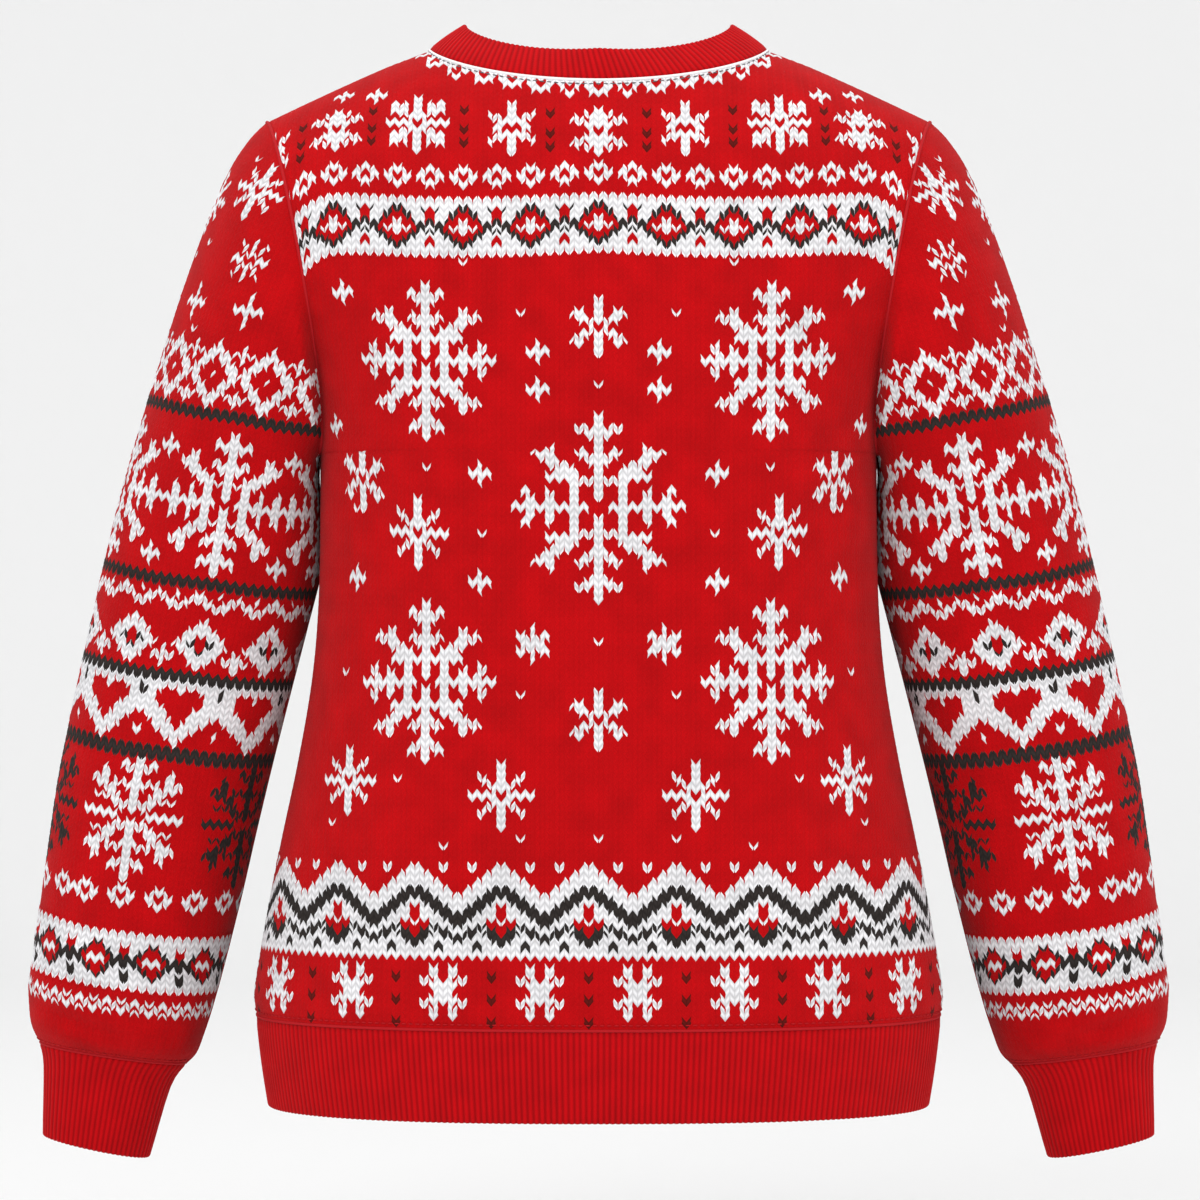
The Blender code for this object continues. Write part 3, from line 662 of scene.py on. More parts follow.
# ---------------------------------------------------------------- meshes
@dataclass
class Shell:
    """The parts of a mesh while it is put together."""

    points: list = field(default_factory=list)
    faces: list = field(default_factory=list)
    yarns: list = field(default_factory=list)
    crowns: list = field(default_factory=list)
    flats: list = field(default_factory=list)

    def add(self, points: Points, faces: Sequence, yarns: Sequence[int] | None = None,
            crowns: Points | None = None, flats: Points | None = None) -> int:
        """Add points and faces.

        Args:
            points: Points in space.
            faces: Faces by the points' own numbers.
            yarns: A yarn for each face, or None for red.
            crowns: 1 for a point on the crown of a stitch, 0 for one between, None for all 1; the
                finishes paint shade from it, darker towards 0.
            flats: The points' places on the flat cloth, in stitches and rows, if they have any.

        Returns:
            The number of the first point.
        """
        first, count = sum(map(len, self.points)), len(points)
        self.points.append(points)
        self.faces += [tuple(index + first for index in face) for face in faces]
        self.yarns += [int(Yarn.RED)] * len(faces) if yarns is None else list(yarns)
        self.crowns.append(np.ones(count) if crowns is None else crowns)
        self.flats.append(np.zeros((count, 2)) if flats is None else flats)
        return first

    def mesh(self, name: str, merged: bool = True) -> Mesh:
        """The mesh of all parts.

        Args:
            name: Its name.
            merged: Whether to merge points that coincide and drop faces with no area.

        Returns:
            The mesh, shaded smooth, with yarn, crown and flat places as attributes.
        """
        mesh = bpy.data.meshes.new(name)
        mesh.from_pydata(np.concatenate(self.points).tolist(), [], self.faces)
        for key, domain, values in (("yarn", "FACE", np.array(self.yarns, dtype=float)),
                                    ("crown", "POINT", np.concatenate(self.crowns))):
            mesh.attributes.new(key, "FLOAT", domain).data.foreach_set("value", values)
        corners = np.empty(len(mesh.loops), dtype=int)
        mesh.loops.foreach_get("vertex_index", corners)
        flats = np.concatenate(self.flats)[corners]
        mesh.uv_layers.new(name="cloth").data.foreach_set("uv", flats.ravel())
        if merged:
            work = bmesh.new()
            work.from_mesh(mesh)
            bmesh.ops.remove_doubles(work, verts=work.verts, dist=MERGED)
            bmesh.ops.dissolve_degenerate(work, edges=work.edges, dist=MERGED / 2)
            if work.calc_volume(signed=True) < 0:
                bmesh.ops.reverse_faces(work, faces=work.faces)
            work.to_mesh(mesh)
            work.free()
            mesh.update()
        mesh.shade_smooth()
        return mesh


def boundary_loop(faces: Sequence[tuple[int, ...]]) -> list[int]:
    """The longest loop of edges that have one face, in the faces' own direction."""
    edges = dict.fromkeys(edge for face in faces for edge in zip(face, face[1:] + face[:1]))
    following = {start: end for start, end in edges if (end, start) not in edges}
    loops = []
    while following:
        start, end = following.popitem()
        loop = [start]
        while end != start and end in following:
            loop.append(end)
            end = following.pop(end)
        loops.append(loop)
    return max(loops, key=len)


def zip_loops(outer: list[int], inner: list[int], points: Points) -> list[tuple[int, ...]]:
    """Triangles between two closed loops that run the same way."""
    start = int(np.argmin(np.linalg.norm(points[inner] - points[outer[0]], axis=1)))
    inner = inner[start:] + inner[:start]
    faces, i, j = [], 0, 0
    while i < len(outer) or j < len(inner):
        a, b = outer[i % len(outer)], inner[j % len(inner)]
        after_a, after_b = outer[(i + 1) % len(outer)], inner[(j + 1) % len(inner)]
        reach_a = np.linalg.norm(points[after_a] - points[b])
        reach_b = np.linalg.norm(points[a] - points[after_b])
        if j >= len(inner) or (i < len(outer) and reach_a <= reach_b):
            faces.append((after_a, a, b))
            i += 1
        else:
            faces.append((a, b, after_b))
            j += 1
    return faces


def crease_valleys(mesh: Mesh) -> None:
    """Shade each leg of a V round by itself: the edges between stitches are sharp."""
    crowns, ends = np.empty(len(mesh.vertices)), np.empty(2 * len(mesh.edges), dtype=int)
    mesh.attributes["crown"].data.foreach_get("value", crowns)
    mesh.edges.foreach_get("vertices", ends)
    sharp = mesh.attributes.get("sharp_edge") or mesh.attributes.new("sharp_edge", "BOOLEAN",
                                                                     "EDGE")
    sharp.data.foreach_set("value", (crowns[ends.reshape(-1, 2)] < 0.5).all(axis=1))
    mesh.update()


def mirror_image(mesh: Mesh, name: str) -> Mesh:
    """A copy of a mesh, mirrored in X."""
    image = mesh.copy()
    image.name = name
    points = np.empty(3 * len(image.vertices))
    image.vertices.foreach_get("co", points)
    points[::3] *= -1
    image.vertices.foreach_set("co", points)
    image.flip_normals()
    image.update()
    return image


@dataclass
class KnitSheet:
    """A piece of patterned knit: its outer skin has every V raised, its inner skin is plain.

    Args:
        right: The half with places across above zero.
        left: The half with places across below zero, or None for a mirror image of the right.
        outline: The cut, as a closed line of places on the flat cloth.
        chart: Its pattern.
        colour_over: Gives a yarn to places near a seam, or -1.
        outward: 1 where across and up turn left about the way out of the cloth, or else -1.
        probe: How far from a place to look for the cloth's slope.
    """

    right: HalfCloth
    left: HalfCloth | None
    outline: Points
    chart: Chart
    colour_over: Callable[[Points], np.ndarray] | None = None
    outward: int = 1
    probe: float = 0.002

    def place(self, flat: Points) -> Points:
        """Points in space of signed places on the flat cloth."""
        across, up = flat.T
        spots, on_left = self.right.place(np.abs(across), up), (across < 0)[:, None]
        if self.left is None:
            return np.where(on_left, spots * MIRROR, spots)
        return np.where(on_left, self.left.place(np.abs(across), up), spots)

    def above(self, flat: Points, height: float) -> Points:
        """Points some way out of the cloth."""
        along, rise = (self.place(flat + step) - self.place(flat - step)
                       for step in self.probe * np.eye(2))
        return self.place(flat) + unit(np.cross(along, rise) * self.outward) * height

    def cells(self, x: Points, y: Points, least: float) -> tuple[Points, ...]:
        """Lay a grid on the cut, its places outside moved to the cut's edge.

        Args:
            x: How far across its places are.
            y: How far up they are.
            least: The least area of a cell.

        Returns:
            The places, the corners of the cells within the cut, their areas, and which cells of
            the whole grid they are.
        """
        flat = np.stack([x, y], axis=-1).reshape(-1, 2)
        within = inside(self.outline, flat)
        line = np.concatenate([self.outline, self.outline[:1]])
        flat[~within] = nearest_on(line, flat[~within])[0]
        index = np.arange(len(flat)).reshape(x.shape)
        cells = np.stack([index[:-1, :-1], index[:-1, 1:], index[1:, 1:], index[1:, :-1]],
                         axis=-1).reshape(-1, 4)
        a, b, c, d = (flat[corner] for corner in cells.T)
        areas = np.abs((c - a)[:, 0] * (d - b)[:, 1] - (c - a)[:, 1] * (d - b)[:, 0]) / 2
        keep = within[cells].any(axis=1) & (areas > least)
        used, cells = np.unique(cells[keep], return_inverse=True)
        return flat[used], cells.reshape(-1, 4), areas[keep], keep

    def outer_skin(self, shell: Shell) -> list[tuple[int, ...]]:
        """Knit the outer skin, leg by leg.

        Args:
            shell: The mesh to add it to.

        Returns:
            The cells of the skin, by the numbers of their corners.
        """
        courses, lines = self.chart.legs.shape[0] // 2 + 1, self.chart.legs.shape[1] + 1
        line, course = np.meshgrid(np.arange(lines) - (lines - 1) // 2, np.arange(courses))
        drop = np.where(line % 2 == 0, V_DROP, 0.0)
        flat, cells, areas, keep = self.cells(line * WALE / 2, (course - drop) * COURSE, 1e-8)
        low, high = (self.chart.legs[part::2].ravel()[keep] for part in (0, 1))
        middles = flat[cells].mean(axis=1)
        if self.colour_over is not None:
            over = self.colour_over(middles)
            low[over >= 0] = high[over >= 0] = over[over >= 0]
        points = self.place(flat)
        first, count = len(points), len(cells)
        height = (np.maximum(STITCH_HEIGHT[low], STITCH_HEIGHT[high])
                  * np.minimum(areas / (WALE / 2 * COURSE), 1.0))
        a, b, c, d = (points[corner] for corner in cells.T)
        start, end = (a + d) / 2, (b + c) / 2
        lift = unit(np.cross(c - a, d - b) * self.outward) * height[:, None]
        crowns = [start + (end - start) * part + lift for part in (RIDGE_INSET, 1 - RIDGE_INSET)]
        ridge_a, ridge_b = first + np.arange(2 * count).reshape(2, -1)
        a, b, c, d = cells.T
        legs, tips = (np.concatenate([np.stack(face, axis=-1) for face in faces]).tolist()
                      for faces in (((a, b, ridge_b, ridge_a), (c, d, ridge_a, ridge_b)),
                                    ((b, c, ridge_b), (d, a, ridge_a))))
        # The crowns are 0 at the legs' corners and 1 on their ridges: they make the valleys sharp
        # and set the painted shade between the legs.
        shell.add(np.concatenate([points, *crowns]), [face[::self.outward] for face in legs + tips],
                  np.concatenate([low, high, *self.tip_yarns(low, high, cells)]),
                  np.concatenate([np.zeros(first), np.ones(2 * count)]),
                  np.concatenate([flat, middles, middles]) * PER_STITCH)
        return [tuple(cell) for cell in cells[:, ::self.outward].tolist()]

    @staticmethod
    def tip_yarns(low: np.ndarray, high: np.ndarray, cells: np.ndarray) -> tuple:
        """Yarns of the right and left tips of the legs: red beside a red leg, or else their own."""
        by_edge = {edge: index for index, edge in enumerate(map(tuple, cells[:, (0, 3)].tolist()))}
        own = np.minimum(low, high)
        right = np.array([by_edge.get(tuple(edge), -1) for edge in cells[:, (1, 2)].tolist()])
        left = np.full(len(cells), -1)
        left[right[right >= 0]] = np.flatnonzero(right >= 0)
        beside = (np.where(index >= 0, own[index], own) for index in (right, left))
        return tuple(np.where(yarns == Yarn.RED, Yarn.RED, own) for yarns in beside)

    def inner_skin(self, shell: Shell) -> list[tuple[int, ...]]:
        """Lay the plain inner skin.

        Args:
            shell: The mesh to add it to.

        Returns:
            Its faces.
        """
        wide, high = WALE, 2 * COURSE
        reach = math.ceil((self.outline[:, 0].max() + wide) / wide)
        low, top = self.outline[:, 1].min() - high, self.outline[:, 1].max() + high
        rows = np.arange(math.floor(low / high), math.ceil(top / high) + 1) * high
        x, y = np.meshgrid(np.arange(-reach, reach + 1) * wide, rows)
        flat, cells = self.cells(x, y, 1e-7)[:2]
        faces = cells[:, ::-self.outward].tolist()
        first = shell.add(self.above(flat, -CLOTH), faces, crowns=np.zeros(len(flat)),
                          flats=flat * PER_STITCH)
        return [tuple(index + first for index in face) for face in faces]

    def build(self, name: str) -> Mesh:
        """Both skins, joined round their edges into one closed piece of cloth."""
        shell = Shell()
        outer, inner = self.outer_skin(shell), self.inner_skin(shell)
        rim = zip_loops(boundary_loop(outer)[::-1], boundary_loop(inner),
                        np.concatenate(shell.points))
        shell.faces += rim
        shell.yarns += [int(Yarn.RED)] * len(rim)
        mesh = shell.mesh(name)
        crease_valleys(mesh)
        return mesh


# ---------------------------------------------------------------- the forms of the pieces
class Crease(NamedTuple):
    """A soft trough in the cloth, along a line in x and z, or a ridge if its depth is below 0."""

    start: tuple[float, float]
    end: tuple[float, float]
    width: float
    depth: float


def creased(points: Points, creases: Sequence[Crease], outward: float) -> Points:
    """Press creases into half a piece of cloth, fading towards its outer edge and its ends.

    Args:
        points: Points of its face by station and line.
        creases: The creases.
        outward: 1 where lines and stations turn left about the way out, or else -1.

    Returns:
        The creased points.
    """
    ways = unit(np.cross(np.gradient(points, axis=1), np.gradient(points, axis=0)) * outward)
    sink, flat = np.zeros(points.shape[:2]), points[..., [0, 2]]
    for crease in creases:
        start, step = np.array(crease.start), np.subtract(crease.end, crease.start)
        share = np.clip(((flat - start) @ step) / (step @ step), 0, 1)
        distance = np.linalg.norm(flat - start - share[..., None] * step, axis=2)
        taper = 0.35 + 0.65 * np.sin(share * math.pi)
        sink += crease.depth * taper * np.exp(-(distance / crease.width) ** 2)
    stations, lines = (np.linspace(0, 1, count) for count in points.shape[:2])
    fade = (smooth_step(1 - lines, 0, 0.10)[None, :] * smooth_step(stations, 0, 0.03)[:, None]
            * smooth_step(1 - stations, 0, 0.05)[:, None])
    return points - ways * (sink * fade)[..., None]


@dataclass
class PanelForm:
    """The form of the back or the front, filled out as worn."""

    side: Side
    creases: tuple[Crease, ...]
    lines: int = 121
    low_stations: int = 90
    high_stations: int = 80
    last_share: float = 0.9995      # the side seam's gap
    last_station: float = 0.06      # the shoulder seam's gap, in stations
    chest_rise: float = 0.0141      # how far the rows rise towards the sides of the chest

    def points(self) -> Points:
        """Points of the right half's outer face, by station from the hem up and by line."""
        share = np.linspace(0, self.last_share, self.lines)[None, :]
        rows = body_rows(np.linspace(HEM_SEAM_Z, UNDERARM_Z, self.low_stations))[..., None]
        power = 2 / SECTION_POWER
        deep = rows[:, 2 if self.side < 0 else 3]
        low = np.stack([rows[:, 1] * np.sin(share * math.pi / 2) ** power,
                        self.side * deep * np.cos(share * math.pi / 2) ** power,
                        rows[:, 0] + 0 * share], axis=-1)
        rise = np.linspace(0, 1, self.high_stations)[1:, None]
        lift = lifted(rise)
        half_width, edge = chest_half_width(lift), armhole_x(self.side, rise)
        end = np.arcsin(np.minimum(edge / half_width, 1) ** (1 / power))
        part = (np.sin(end * share) / np.sin(end)) ** power
        z = UNDERARM_Z + (shoulder_line(SHOULDER_X * part) - UNDERARM_Z) * lift
        return np.concatenate([low, body_surface(self.side, edge * part, z, half_width)])

    def cloth(self) -> HalfCloth:
        """The right half as cloth."""
        points = creased(self.points(), self.creases, -self.side)
        up = np.linspace(0, 1, len(points))[:, None]
        out = np.minimum(np.abs(points[..., 0]) / 0.13, 1.25)
        return HalfCloth(points, rise=self.chest_rise * out ** 2 * smooth_step(up, 0.25, 0.65))

    def neck_edge(self, count: int) -> Points:
        """Points of the right half's neck edge, from the shoulder to the middle."""
        angle = np.linspace(math.pi / 2, 0, count)
        drop = NECK_DROP_BACK if self.side < 0 else NECK_DROP_FRONT
        x, z = NECK_HALF_WIDTH * np.sin(angle), -drop * np.cos(angle) ** NECK_CURVE
        return body_surface(self.side, x, z, chest_half_width(lift_at(x, z)))

    def stations_of(self, x: Points, z: Points) -> tuple[Points, Points]:
        """The lines and stations of places above the underarm."""
        lift = lift_at(x, z)
        for _ in range(30):
            rise = 0.5 + np.arcsin(np.clip(2 * lift - 1, -1, 1)) / math.pi
            edge = armhole_x(self.side, rise)
            end = np.arcsin(np.minimum(edge / chest_half_width(lift), 1) ** (SECTION_POWER / 2))
            part = np.minimum(x / edge, 1)
            share = np.arcsin(part ** (SECTION_POWER / 2) * np.sin(end)) / end
            lift = np.clip(lift_at(SHOULDER_X * part, z), 0, 1)
        line = np.clip(share / self.last_share, 0, 1) * (self.lines - 1)
        return line, self.low_stations - 1 + rise * (self.high_stations - 1)

    def cut(self, cloth: HalfCloth) -> tuple[Points, Points]:
        """The cut of the whole piece on the flat cloth, and its neck edge from right to left."""
        last = self.low_stations + self.high_stations - 2 - self.last_station
        edge = self.neck_edge(60)
        line, station = self.stations_of(edge[:, 0], edge[:, 2])
        neck = cloth.flat(line, np.minimum(station, last))
        neck[-1, 0] = 0.0
        shoulder = np.linspace(self.lines - 1, line[0], 60)[1:-1]
        right = np.concatenate([
            cloth.flat(np.full(240, self.lines - 1.0), np.linspace(0, last, 240)),
            cloth.flat(shoulder, np.full(len(shoulder), last)), neck])
        return tuple(np.concatenate([half, half[-2::-1] * (-1, 1)]) for half in (right, neck))


@dataclass
class SleeveForm:
    """The form of the left sleeve, filled out as worn."""

    creases: tuple[Crease, ...]
    lines: int = 121
    stations_per_row: int = 8
    seam_angle: float = 0.004       # the underarm seam's gap
    gather_height: float = 0.034

    def armhole(self, side: Side, angle: Points) -> Points:
        """The sleeve's top edge, at the angles of its rings."""
        rise = 1 - np.abs(angle) / math.pi
        x, lift = armhole_x(side, rise), lifted(rise)
        z = UNDERARM_Z + (SHOULDER_Z - UNDERARM_Z) * lift
        return body_surface(side, x, z, chest_half_width(lift)) * MIRROR - (SEAM_GAP, 0, 0)

    def points(self, side: Side) -> Points:
        """Points of one half's outer face, by station from the cuff up and by line."""
        angle = -side * np.linspace(0, math.pi - self.seam_angle, self.lines)
        last = len(SLEEVE) - 1
        rings = sleeve_rings(SLEEVE, np.linspace(last, 0, last * self.stations_per_row + 1), angle)
        start, top = rings[-1], self.armhole(side, angle)
        slope = (top - rings[-1 - self.stations_per_row]) / 2
        share = np.linspace(0, 1, self.stations_per_row + 1)[1:, None, None]
        return np.concatenate([rings, hermite(start, slope, top, top - start, share)])

    def cloth(self, side: Side) -> HalfCloth:
        """One half as cloth: the back goes right from the outer edge, the front left."""
        points = creased(self.points(side), self.creases, -side)
        return HalfCloth(points, gather_below=self.gather_height)

    def cut(self, back: HalfCloth, front: HalfCloth) -> Points:
        """The cut of the whole sleeve on the flat cloth."""
        last, stations = self.lines - 1.0, len(back.points) - 1.0
        right, left = (np.concatenate([
            cloth.flat(np.full(240, last), np.linspace(0, stations, 240)),
            cloth.flat(np.linspace(last, 0, 160)[1:], np.full(159, stations))])
            for cloth in (back, front))
        return np.concatenate([right, left[-2::-1] * (-1, 1)])


@dataclass(frozen=True)
class Scallops:
    """The white scallops that hang from the neck seam, each with a small red heart."""

    line: Points
    pitch: float = 3 * WALE
    width: float = 0.0156
    depth: float = 0.0112
    rim: float = 0.0026             # the white edge that joins them
    heart: float = 0.0027           # radius of a heart
    heart_drop: float = 0.0046      # how far its middle is below the seam

    def __call__(self, places: Points) -> np.ndarray:
        """The yarn of each place, or -1 where the chart holds."""
        spots, ways = nearest_on(self.line, places)
        distance = np.linalg.norm(places - spots, axis=1)
        turn = (ways - lengths_along(self.line)[-1] / 2) / self.pitch
        beside = (turn - np.round(turn)) * self.pitch
        yarns = np.full(len(places), -1)
        reach = np.hypot(beside / self.width * 2, distance / self.depth)
        yarns[(reach < 1) | (distance < self.rim)] = Yarn.WHITE
        yarns[np.hypot(beside, distance - self.heart_drop) < self.heart] = Yarn.RED
        return yarns


@dataclass
class RibBand:
    """A ribbed tube, from its seam to its open edge, with the edge turned over.

    Args:
        loops: Base loops from the seam to the open edge.
        ribs: Ribs all round.
        columns: Columns of points for each rib.
        edge_rings: Rings of points round the turn of the edge.
        puff: How far the band swells halfway up.
    """

    loops: list[Points]
    ribs: int
    columns: int = 6
    edge_rings: int = 4
    puff: float = 0.0006

    def build(self, name: str) -> Mesh:
        """The closed band."""
        count = self.ribs * self.columns
        base = np.stack([spaced(loop, count, closed=True) for loop in self.loops])
        rise = np.gradient(base, axis=0)
        ways = unit(np.cross(np.roll(base, -1, axis=1) - np.roll(base, 1, axis=1), rise))
        if ((base - base.mean(axis=1, keepdims=True)) * ways).sum() < 0:
            ways = -ways
        share = np.linspace(0, 1, len(base))[:, None]
        wave = np.abs(np.sin((np.arange(count) + 0.5) / self.columns * math.pi)) ** 0.7
        height = RIB_HEIGHT * wave[None, :] * (0.35 + 0.65 * smooth_step(share, 0, 0.12))
        lift = height + self.puff * np.sin(share * math.pi)
        outer, inner = base + ways * lift[..., None], base - ways * RIB_CLOTH
        centre, half = (outer[-1] + inner[-1]) / 2, (outer[-1] - inner[-1]) / 2
        down = unit(rise[-1]) * np.linalg.norm(half, axis=1)[:, None]
        edge = [centre + half * math.cos(turn) + down * math.sin(turn)
                for turn in np.linspace(0, math.pi, self.edge_rings + 2)[1:-1]]
        under = inner[::-2]
        # The crowns set the painted shade: darker between the ribs, and the band's inside all in
        # painted shade.
        crowns = [*(wave + 0 * share), *([wave] * len(edge)), *([wave * 0] * len(under))]
        return self.closed_mesh(name, np.stack([*outer, *edge, *under]), np.stack(crowns))

    def closed_mesh(self, name: str, rings: Points, crowns: Points) -> Mesh:
        """A mesh through rings of points, closed round the tube and through its wall."""
        rows, count = rings.shape[:2]
        index = np.arange(rows * count).reshape(rows, count)
        after, beside = np.roll(index, -1, axis=0), np.roll(index, -1, axis=1)
        faces = np.stack([index, beside, np.roll(after, -1, axis=1), after], axis=-1)
        flats = np.stack(np.meshgrid(np.arange(count) / self.columns, np.arange(rows) * 0.8), -1)
        shell = Shell()
        shell.add(rings.reshape(-1, 3), faces.reshape(-1, 4).tolist(), crowns=crowns.ravel(),
                  flats=flats.reshape(-1, 2))
        return shell.mesh(name)


def neck_seam(back: PanelForm, front: PanelForm) -> Points:
    """The neck seam all round: the right half of the back, the left half, then the front."""
    back_edge, front_edge = back.neck_edge(90), front.neck_edge(120)
    return np.concatenate([back_edge[:-1], back_edge[::-1] * MIRROR,
                           front_edge[1:-1] * MIRROR, front_edge[:0:-1]])


def neck_loops(back: PanelForm, front: PanelForm) -> list[Points]:
    """Base loops of the neckband: it rises from the neck seam and leans in."""
    first = neck_seam(back, front)
    first = first + unit(first * (-1, -1, 0) + (0, 0, NECK_HALF_WIDTH)) * NECK_GAP
    side = np.minimum(np.abs(first[:, 0]) / NECK_HALF_WIDTH, 1)[:, None]
    lean = NECK_BAND_LEAN * side + NECK_BAND_LEAN_BACK * (1 - side)
    rise = NECK_BAND_RISE * side + NECK_BAND_RISE_BACK * (1 - side)
    step = rise * (0, 0, 1) - unit(first * (1, 1, 0)) * lean
    return [first + step * share for share in np.linspace(0, 1, BAND_RINGS)]


def body_loop(z: float) -> Points:
    """A level section of the body's outer face, all round."""
    row = body_rows(z)[0]
    angle = np.linspace(0, 2 * math.pi, 720, endpoint=False)
    across, deep = (bowed(way, 2 / SECTION_POWER) for way in (np.sin(angle), np.cos(angle)))
    y = -np.where(np.cos(angle) > 0, row[2], row[3]) * deep
    return np.stack([row[1] * across, y, np.full(len(y), z)], axis=-1)


def hem_loops() -> list[Points]:
    """Base loops of the hem band, drawn in a little at its edge."""
    first = body_loop(HEM_SEAM_Z) - (0, 0, 0.0003)
    edge = first * (HEM_DRAW, HEM_DRAW, 0) + (0, 0, HEM_Z)
    return [first + (edge - first) * share for share in np.linspace(0, 1, BAND_RINGS)]


def cuff_loops() -> list[Points]:
    """Base loops of the left cuff, narrower at its edge."""
    angle = np.linspace(0, 2 * math.pi, 480, endpoint=False)
    places = np.linspace(0.02, 2, BAND_RINGS)
    return list(sleeve_rings(np.concatenate([SLEEVE[-1:], CUFF]), places, angle))


# ---------------------------------------------------------------- sewing
def frame_along(tangents: Points) -> tuple[Points, Points, Points]:
    """Along a line and two ways beside it, all of length 1."""
    tangents = unit(tangents)
    first = unit(np.cross(tangents, ASKEW))
    return tangents, first, np.cross(tangents, first)


@dataclass
class SeamCords:
    """Round cords sewn along seams, joined as one piece."""

    radius: float = 0.0010
    step: float = 0.0022
    sides: int = 8

    def build(self, name: str, open_paths: Sequence[Points],
              closed_paths: Sequence[Points]) -> Mesh:
        """The cords along all the paths."""
        shell = Shell()
        for paths, closed in ((open_paths, False), (closed_paths, True)):
            for path in paths:
                count = max(int(lengths_along(path)[-1] / self.step), 4)
                shell.add(*self.swept(spaced(path, count, closed), closed))
        return shell.mesh(name)

    def swept(self, path: Points, closed: bool) -> tuple[Points, list]:
        """One cord.

        Args:
            path: Points of its middle line.
            closed: Whether its ends meet. An open cord gets a point at each end.

        Returns:
            Points and faces.
        """
        tangents, first, second = frame_along(
            np.roll(path, -1, axis=0) - np.roll(path, 1, axis=0) if closed
            else np.gradient(path, axis=0))
        turn = (np.arange(self.sides) * 2 * math.pi / self.sides)[None, :, None]
        ways = first[:, None] * np.cos(turn) + second[:, None] * np.sin(turn)
        points = (path[:, None] + self.radius * ways).reshape(-1, 3)
        index = np.arange(len(points)).reshape(-1, self.sides)
        low = index if closed else index[:-1]
        high = np.roll(index, -1, axis=0) if closed else index[1:]
        faces = np.stack([low, np.roll(low, -1, axis=1), np.roll(high, -1, axis=1), high],
                         axis=-1).reshape(-1, 4).tolist()
        if not closed:
            end = len(points)
            tip = self.radius * 0.6
            points = np.concatenate([points, path[:1] - tangents[:1] * tip,
                                     path[-1:] + tangents[-1:] * tip])
            for side, after in zip(range(self.sides), np.roll(range(self.sides), -1).tolist()):
                faces.append([end, after, side])
                faces.append([end + 1, end - self.sides + side, end - self.sides + after])
        return points, faces


@dataclass
class Topstitch:
    """A row of stitches of thread that show on the cloth."""

    length: float = 0.0030
    pitch: float = 0.0042
    radius: float = 0.00042

    def model(self) -> tuple[Points, list]:
        """One stitch, modelled once along X: its points and faces."""
        bpy.ops.object.select_all(action="DESELECT")
        bpy.ops.mesh.primitive_uv_sphere_add(segments=8, ring_count=6, radius=1.0,
                                             rotation=(0, math.pi / 2, 0))
        bpy.ops.object.transform_apply(rotation=True)
        bpy.ops.object.mode_set(mode="EDIT")
        bpy.ops.mesh.select_all(action="SELECT")
        bpy.ops.transform.resize(value=(self.length / 2, self.radius, self.radius))
        bpy.ops.object.mode_set(mode="OBJECT")
        stitch = bpy.context.object
        points = np.array([vertex.co for vertex in stitch.data.vertices])
        faces = [list(polygon.vertices) for polygon in stitch.data.polygons]
        bpy.data.objects.remove(stitch)
        return points, faces

    def build(self, name: str, paths: Sequence[Points]) -> Mesh:
        """Copies of the stitch along open paths on the cloth."""
        model, faces = self.model()
        shell = Shell()
        for path in paths:
            spots = spaced(path, max(int(lengths_along(path)[-1] / self.pitch), 2))
            turns = np.stack(frame_along(np.gradient(spots, axis=0)), axis=1)
            for copy in np.einsum("pk,nkx->npx", model, turns) + spots[:, None]:
                shell.add(copy, faces)
        return shell.mesh(name, merged=False)


# ---------------------------------------------------------------- finishes
class NodeTree:
    """Adds nodes to a tree and joins them."""

    def __init__(self, tree: bpy.types.NodeTree) -> None:
        self.tree = tree

    def add(self, kind: str, inputs: dict | None = None, **settings) -> bpy.types.Node:
        """A new node.

        Args:
            kind: Its type.
            inputs: A value or an output socket for each input, by name or number.
            settings: Its own settings.

        Returns:
            The node.
        """
        node = self.tree.nodes.new(kind)
        for name, value in settings.items():
            setattr(node, name, value)
        self.feed(node, inputs or {})
        return node

    def feed(self, node: bpy.types.Node, inputs: dict) -> None:
        """Give a node's inputs their values, or join them to output sockets."""
        for key, value in inputs.items():
            if isinstance(value, Socket):
                self.tree.links.new(value, node.inputs[key])
            else:
                node.inputs[key].default_value = value

    def math(self, operation: str, *values) -> Socket:
        """The result of a sum on values or sockets."""
        return self.add("ShaderNodeMath", dict(enumerate(values)), operation=operation).outputs[0]

    def scaled(self, value: Socket, factor: float, more: float | Socket = 0.0) -> Socket:
        """A value times a factor, plus some more."""
        return self.math("MULTIPLY_ADD", value, factor, more)

    def darkened(self, colour: Colour | Socket, *shades: Socket) -> Socket:
        """A colour times two shades of grey: in the finishes, the painted shade and the dye's
        unevenness.
        """
        bright = self.math("MULTIPLY", *shades)
        grey = self.add("ShaderNodeCombineColor", dict.fromkeys(range(3), bright)).outputs[0]
        return self.add("ShaderNodeMix", {0: 1.0, 6: colour, 7: grey}, data_type="RGBA",
                        blend_type="MULTIPLY").outputs[2]


def new_group(name: str, inputs: dict[str, str], outputs: Sequence[str]) -> NodeTree:
    """A node group whose outputs are all floats, from its inputs and their types."""
    group = bpy.data.node_groups.new(name, "ShaderNodeTree")
    for key, kind in inputs.items():
        group.interface.new_socket(key, in_out="INPUT", socket_type=f"NodeSocket{kind}")
    for key in outputs:
        group.interface.new_socket(key, in_out="OUTPUT", socket_type="NodeSocketFloat")
    return NodeTree(group)


